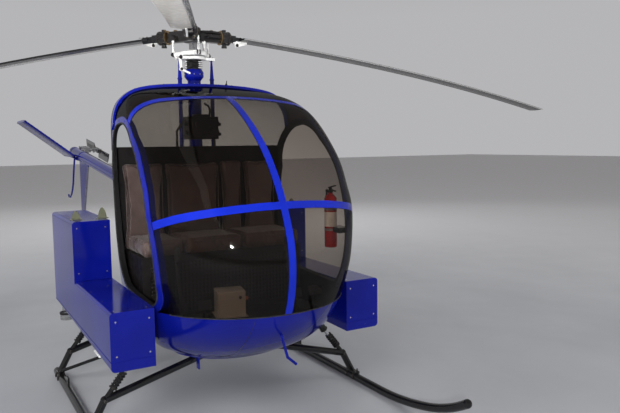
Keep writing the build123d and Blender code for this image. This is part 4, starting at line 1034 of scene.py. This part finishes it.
def cushion_ring(low, high):
    """line of the piping round the top of a cushion"""
    z, e = high[2] - 0.016, 0.014
    return [(low[0] + e, low[1] + e, z), (high[0] - 3 * e, low[1] + e, z),
            (high[0] - e, low[1] + 3 * e, z - 0.008), (high[0] - e, high[1] - 3 * e, z - 0.008),
            (high[0] - 3 * e, high[1] - e, z), (low[0] + e, high[1] - e, z)]


def back_ring(low, high):
    """line of the piping round the front of a seat back"""
    x, e = high[0] - 0.012, 0.017
    corners = ((low[1] + e, low[2] + 2 * e), (low[1] + e, high[2] - 2 * e), (low[1] + 2 * e, high[2] - e),
               (high[1] - 2 * e, high[2] - e), (high[1] - e, high[2] - 2 * e), (high[1] - e, low[2] + 2 * e),
               (high[1] - 2 * e, low[2] + e), (low[1] + 2 * e, low[2] + e))
    return [(x, y, z) for y, z in corners]


# kind, its rows, low x and z, high x and z, face, edge radius, line of the piping
SEAT_KINDS = (
    ("cushion", CUSHIONS, (0.1503, 1.0458), (0.5497, 1.1500), 2, 0.034, cushion_ring),
    ("back", BACKS, (0.0702, 1.0458), (0.1497, 1.6397), 0, 0.026, back_ring),
)
cords = []
for kind, rows, (low_x, low_z), (high_x, high_z), face, round_edge, ring_of in SEAT_KINDS:
    cord = Form()
    for name, y, wide, channels in rows:
        low, high = (low_x, y - wide / 2 + 0.001, low_z), (high_x, y + wide / 2 - 0.001, high_z)
        padded(kind + "_" + name, low, high, face, channels, round_edge, "seat_" + kind + "s")
        cord.tube(ring_of(low, high), 0.0036, 8, closed=True)
    cords.append((kind + "_piping", cord))
for name, cord in cords:
    cord.make(name, LEATHER)

# Inside: perforated seat front
PANEL_X, PANEL_LOW, HOLE_STEP, HOLE_R, COUNT_Y, COUNT_Z = 0.5225, 0.675, 0.026, 0.0062, 40, 13
panel, panel_edge = Form(), Form()
half = HOLE_STEP / 2
for i in range(COUNT_Y):
    for k in range(COUNT_Z):
        cy, cz = (i - COUNT_Y / 2 + 0.5) * HOLE_STEP, PANEL_LOW + k * HOLE_STEP
        outer = [(cy + half * u, cz + half * v)
                 for u, v in ((1, 0), (1, 1), (0, 1), (-1, 1), (-1, 0), (-1, -1), (0, -1), (1, -1))]
        inner = [(cy + HOLE_R * cos(pi / 4 * t), cz + HOLE_R * sin(pi / 4 * t)) for t in range(8)]
        ro, ri = ([panel.bm.verts.new((PANEL_X, y, z)) for y, z in ring] for ring in (outer, inner))
        for t in range(8):
            panel.bm.faces.new((ro[t], ro[(t + 1) % 8], ri[(t + 1) % 8], ri[t]))
bmesh.ops.remove_doubles(panel.bm, verts=panel.bm.verts, dist=0.0001)
sheet = panel.make("seat_panel", TRIM)
sheet.modifiers.new("thick", "SOLIDIFY").thickness = 0.0018
y0, z0, z1 = COUNT_Y / 2 * HOLE_STEP, PANEL_LOW - half, PANEL_LOW + (COUNT_Z - 0.5) * HOLE_STEP
panel_edge.tube([(PANEL_X, -y0, z0), (PANEL_X, y0, z0), (PANEL_X, y0, z1), (PANEL_X, -y0, z1)],
                0.004, 8, closed=True)
for i in range(9):
    panel_edge.screw((PANEL_X + 0.002, (i - 4) * y0 / 4.2, z0 - 0.010), AHEAD, 0.0035, 0.0025)
panel_edge.make("seat_panel_edge", TRIM)

# Console: lid, vents and knob, in the console's own turned frame
turn = Matrix.Rotation(radians(-12), 3, "Z")
desk = Vector((0.640, -0.030, 0.6303))
lid, dark_holes, knob = Form(), Form(), Form()
lid.block(desk + UP * 0.1665, (0.176, 0.186, 0.006), 0.002, turn)
for dx in (-0.074, 0.074):
    for dy in (-0.080, 0, 0.080):
        lid.screw(desk + turn @ Vector((dx, dy, 0.1695)), UP, 0.0032, 0.0022)
lid.block(desk + turn @ Vector((0.0865, 0, 0.150)), (0.004, 0.150, 0.010), 0.0015, turn)
lid.make("console_lid", BEIGE_BOX)
# painted shade: thin black discs stand for the shade inside the vent holes
for k in range(4):
    for i in range(3):
        dark_holes.turned(desk + turn @ Vector((-0.045 + 0.022 * i, -0.0902, 0.060 + 0.020 * k)), turn @ -PORT,
                          [(0, 0.0045), (0.0008, 0.0045), (0.0010, 0.003)], 10)
dark_holes.turned(desk + turn @ Vector((0.086, 0.055, 0.130)), turn @ AHEAD,
                  [(0, 0.011), (0.003, 0.011), (0.004, 0.008)], 18)
dark_holes.make("console_vents", PLASTIC)
knob.turned(desk + turn @ Vector((0.075, 0.094, 0.120)), turn @ PORT,
            [(0, 0.012), (0.010, 0.012), (0.014, 0.008), (0.016, 0.003)], 18)
knob.make("console_knob", SPOT)

# Stick grips and boots, overhead box lugs
grips, lugs = Form(), Form()
for y in (-0.39, 0.39):
    base, top = Vector((0.6525, y, 1.030)), Vector((0.667, y, 1.125))
    grips.turned(base, top - base, [(0, 0.014), (0.004, 0.017), (0.030, 0.016), (0.060, 0.018), (0.088, 0.019),
                                    (0.096, 0.014), (0.099, 0.006)], 20)
    grips.block(top + Vector((0.010, 0, -0.012)), (0.022, 0.014, 0.018), 0.004)
    grips.turned((0.76, y, 0.632), UP,
                 [(0, 0.048), (0.004, 0.048), (0.018, 0.036), (0.030, 0.028), (0.044, 0.016)], 24)
grips.make("stick_grips", RUBBER)

low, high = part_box("overhead_box")
for y in (low[1] - 0.012, high[1] + 0.012):
    for z in (1.835, 1.905):
        lugs.block((0.165, y, z), (0.040, 0.030, 0.022), 0.004)
        lugs.turned((0.165, y, z + 0.010), UP,
                    [(0, 0.010), (0.008, 0.010), (0.010, 0.006), (0.020, 0.006)], 12)
lugs.block((0.202, -0.010, 1.880), (0.008, 0.180, 0.120), 0.003)
lugs.turned((0.203, -0.060, 1.905), AHEAD, [(0, 0.018), (0.014, 0.018), (0.016, 0.013)], 20)
lugs.turned((0.203, 0.045, 1.870), AHEAD, [(0, 0.024), (0.010, 0.024), (0.012, 0.018)], 20)
lugs.block((0.150, -0.010, 1.968), (0.060, 0.120, 0.018), 0.004)
lugs.tube([(0.130, 0.060, 1.972), (0.120, 0.070, 2.010), (0.090, 0.070, 2.040), (0.060, 0.052, 2.060)],
          0.008, 10)
for y in (-0.165, 0.120):
    lugs.tube([(0.066, y, 1.752), (0.066, y, 1.860), (0.080, y * 0.72, 1.930)], 0.009, 10)
lugs.make("overhead_fittings", PLASTIC)

# Extinguisher: head with levers, gauge and hose, straps, bare band, domed ends
bottle = Vector((0.960, 0.570, 0))
neck, strap, label, dome = Form(), Form(), Form(), Form()
neck.turned(bottle + UP * 1.438, UP,
            [(0, 0.017), (0.012, 0.017), (0.014, 0.012), (0.030, 0.012), (0.034, 0.006)], 16)
for x, z, size, soft, lean in ((0.020, 1.478, (0.085, 0.016, 0.008), 0.003, -12),
                               (0.024, 1.456, (0.075, 0.016, 0.006), 0.002, 10)):
    neck.block(bottle + Vector((x, 0, z)), size, soft, Matrix.Rotation(radians(lean), 3, "Y"))
neck.turned(bottle + Vector((-0.010, -0.017, 1.448)), -PORT, [(0, 0.013), (0.008, 0.013), (0.010, 0.009)], 16)
HOSE = ((-0.014, 0, 1.450), (-0.044, 0, 1.440), (-0.056, 0, 1.400), (-0.054, 0, 1.300), (-0.050, 0.004, 1.180))
neck.tube([bottle + Vector(p) for p in HOSE], 0.0065, 10)
neck.turned(bottle + Vector((-0.050, 0.004, 1.182)), -UP,
            [(0, 0.008), (0.020, 0.011), (0.034, 0.013), (0.036, 0.008)], 14)
neck.make("bottle_head", PLASTIC)
for z in (1.195, 1.330):
    strap.turned(bottle + UP * z, UP, mirrored(0, [(-0.008, 0.0412), (-0.008, 0.0426)]), 32)
strap.make("bottle_straps", STEEL)
label.turned(bottle + UP * 1.215, UP, [(0, 0.0411), (0.0005, 0.0417), (0.0955, 0.0417), (0.096, 0.0411)], 32)
label.make("bottle_band", LABEL)
dome.turned(bottle + UP * 1.398, UP, [(0, 0.0405), (0.010, 0.037), (0.022, 0.026), (0.030, 0.016)], 28)
dome.turned(bottle + UP * 1.082, -UP, [(0, 0.0405), (0.005, 0.038), (0.007, 0.030)], 28)
dome.make("bottle_dome", RED)

# Drive behind the bulkhead: motor fins, pulley rims, gearbox flanges, frame clamps
MOTOR_Z, PULLEY_X, GEAR_X = 0.850, -0.420, -0.130
motor, rims, gear, tubes = Form(), Form(), Form(), Form()
for i in range(9):
    motor.turned((-0.085 - i * 0.030, 0, MOTOR_Z), -AHEAD, mirrored(0.008, [(0, 0.189), (0.001, 0.198)]), 48)
for t in turns(8):
    motor.screw((-0.360, 0.150 * cos(t), MOTOR_Z + 0.150 * sin(t)), -AHEAD, 0.008, 0.006)
motor.make("motor_fins", CASTING)
for z, r in ((MOTOR_Z, 0.0905), (1.360, 0.1455)):
    for dx in (-0.034, 0.034):
        rims.turned((PULLEY_X + dx, 0, z), AHEAD, mirrored(0, [(-0.004, r), (-0.003, r + 0.008)]), 40)
    for t in turns(6):
        rims.screw((-0.455, r * 0.45 * cos(t), z + r * 0.45 * sin(t)), -AHEAD, 0.007, 0.006)
rims.make("pulley_rims", STEEL)
for z in (1.553, 1.298):
    gear.block((GEAR_X, 0, z), (0.352, 0.292, 0.016), 0.004)
for x in (-0.285, -0.180, -0.080, 0.025):
    for y in (-0.138, 0.138):
        gear.screw((x, y, 1.5605), UP, 0.0065, 0.006)
for y in (-0.142, 0.142):
    for x in (-0.26, -0.20, -0.14, -0.08, -0.02):
        gear.block((x, y, 1.425), (0.010, 0.012, 0.230), 0.003)
gear.make("gearbox_flanges", DARKCAST)
for side in (-1, 1):
    for x in (-0.10, -0.50):
        for y in (0.35, 0.55):
            tubes.turned((x, side * y, 0.600 - (y - 0.29) * 0.13), (0, side, -0.13),
                         mirrored(0, [(-0.012, 0.0148), (-0.010, 0.019)]), 20)
    tubes.tube([(x, side * y, z) for x, y, z in (
        (-0.02, 0.26, 1.60), (-0.10, 0.20, 1.30), (-0.20, 0.21, 1.05), (-0.22, 0.17, 0.98))], 0.012, 10)
tubes.make("frame_clamps", BLACK)


# Floor, surround and lamps
FLOOR_DARK, FLOOR_LIGHT, FLOOR_FAR = (0.38, 0.39, 0.41), (0.43, 0.44, 0.46), (0.88, 0.88, 0.90)
FLOOR_HALF, PALE_FROM, PALE_TO = 60, 4.0, 14.0
LOW_SKY, HIGH_SKY, SKY_STRENGTH = (0.80, 0.80, 0.82, 1), (0.36, 0.345, 0.34, 1), 0.58
# place, target, width, height, watts, spread in degrees, seen in reflections
LAMPS = (
    ((7.0, -6.5, 7.0), (0.3, 0, 1.0), 5.0, 4.0, 560, 180, False),
    ((5.0, -2.6, 1.0), (0.2, 0, 2.9), 0.5, 0.5, 22, 50, False),
    ((6.5, -2.9, 2.3), (0.8, 0, 1.2), 0.13, 0.13, 24, 60, True),
    ((-1.5, -9.0, 6.5), (-0.5, 0, 1.0), 6.0, 4.0, 330, 180, False),
    ((6.5, 7.0, 6.5), (0.5, 0, 1.2), 5.0, 4.0, 330, 180, False),
    ((-9.5, 4.5, 7.0), (-2.5, 0, 1.2), 5.0, 4.0, 330, 180, False),
)


def floor_material():
    """plain floor with faint clouds, paler far from the middle"""
    m = Mat("floor")
    base = m.mix(m.cloud(0.8, 4, 0.3, 0.7), FLOOR_DARK, FLOOR_LIGHT)
    far = m.node("VectorMath")
    far.operation = "LENGTH"
    m.put(far.inputs[0], m.place)
    base = m.mix(m.span(far.outputs["Value"], PALE_FROM, PALE_TO), base, FLOOR_FAR)
    return m.surface(Base_Color=base, Roughness=m.cloud(3, 3, 0.3, 0.7, 0.55, 0.7),
                     Normal=m.bump(m.noise(60, 3), 0.05, 0.002), Specular_IOR_Level=0.25)


def make_floor():
    """flat floor, not part of the object"""
    mesh = bpy.data.meshes.new("floor")
    corners = [(FLOOR_HALF * x, FLOOR_HALF * y, 0) for x, y in ((-1, -1), (1, -1), (1, 1), (-1, 1))]
    mesh.from_pydata(corners, [], [(0, 1, 2, 3)])
    mesh.materials.append(floor_material())
    floor = bpy.data.objects.new("floor", mesh)
    SCENE.collection.objects.link(floor)


def make_world():
    """surround that darkens with height"""
    world = bpy.data.worlds.new("world")
    SCENE.world = world
    world.use_nodes = True
    nodes, links = world.node_tree.nodes, world.node_tree.links
    place = nodes.new("ShaderNodeTexCoord")
    split = nodes.new("ShaderNodeSeparateXYZ")
    links.new(place.outputs["Generated"], split.inputs[0])
    ramp = nodes.new("ShaderNodeValToRGB")
    low_end, high_end = ramp.color_ramp.elements
    low_end.position, high_end.position = 0.18, 0.72
    low_end.color, high_end.color = LOW_SKY, HIGH_SKY
    links.new(split.outputs["Z"], ramp.inputs[0])
    back = nodes["Background"]
    links.new(ramp.outputs[0], back.inputs["Color"])
    back.inputs["Strength"].default_value = SKY_STRENGTH


def make_lamps():
    """soft lamps round the part"""
    for place, target, width, height, watts, spread, mirrored_in in LAMPS:
        data = bpy.data.lights.new("lamp", "AREA")
        data.shape = "RECTANGLE"
        data.size, data.size_y, data.energy, data.spread = width, height, watts, radians(spread)
        lamp = bpy.data.objects.new("lamp", data)
        lamp.location = place
        lamp.visible_glossy = mirrored_in
        lamp.rotation_euler = (Vector(target) - Vector(place)).to_track_quat("-Z", "Y").to_euler()
        SCENE.collection.objects.link(lamp)


make_floor()
make_world()
make_lamps()
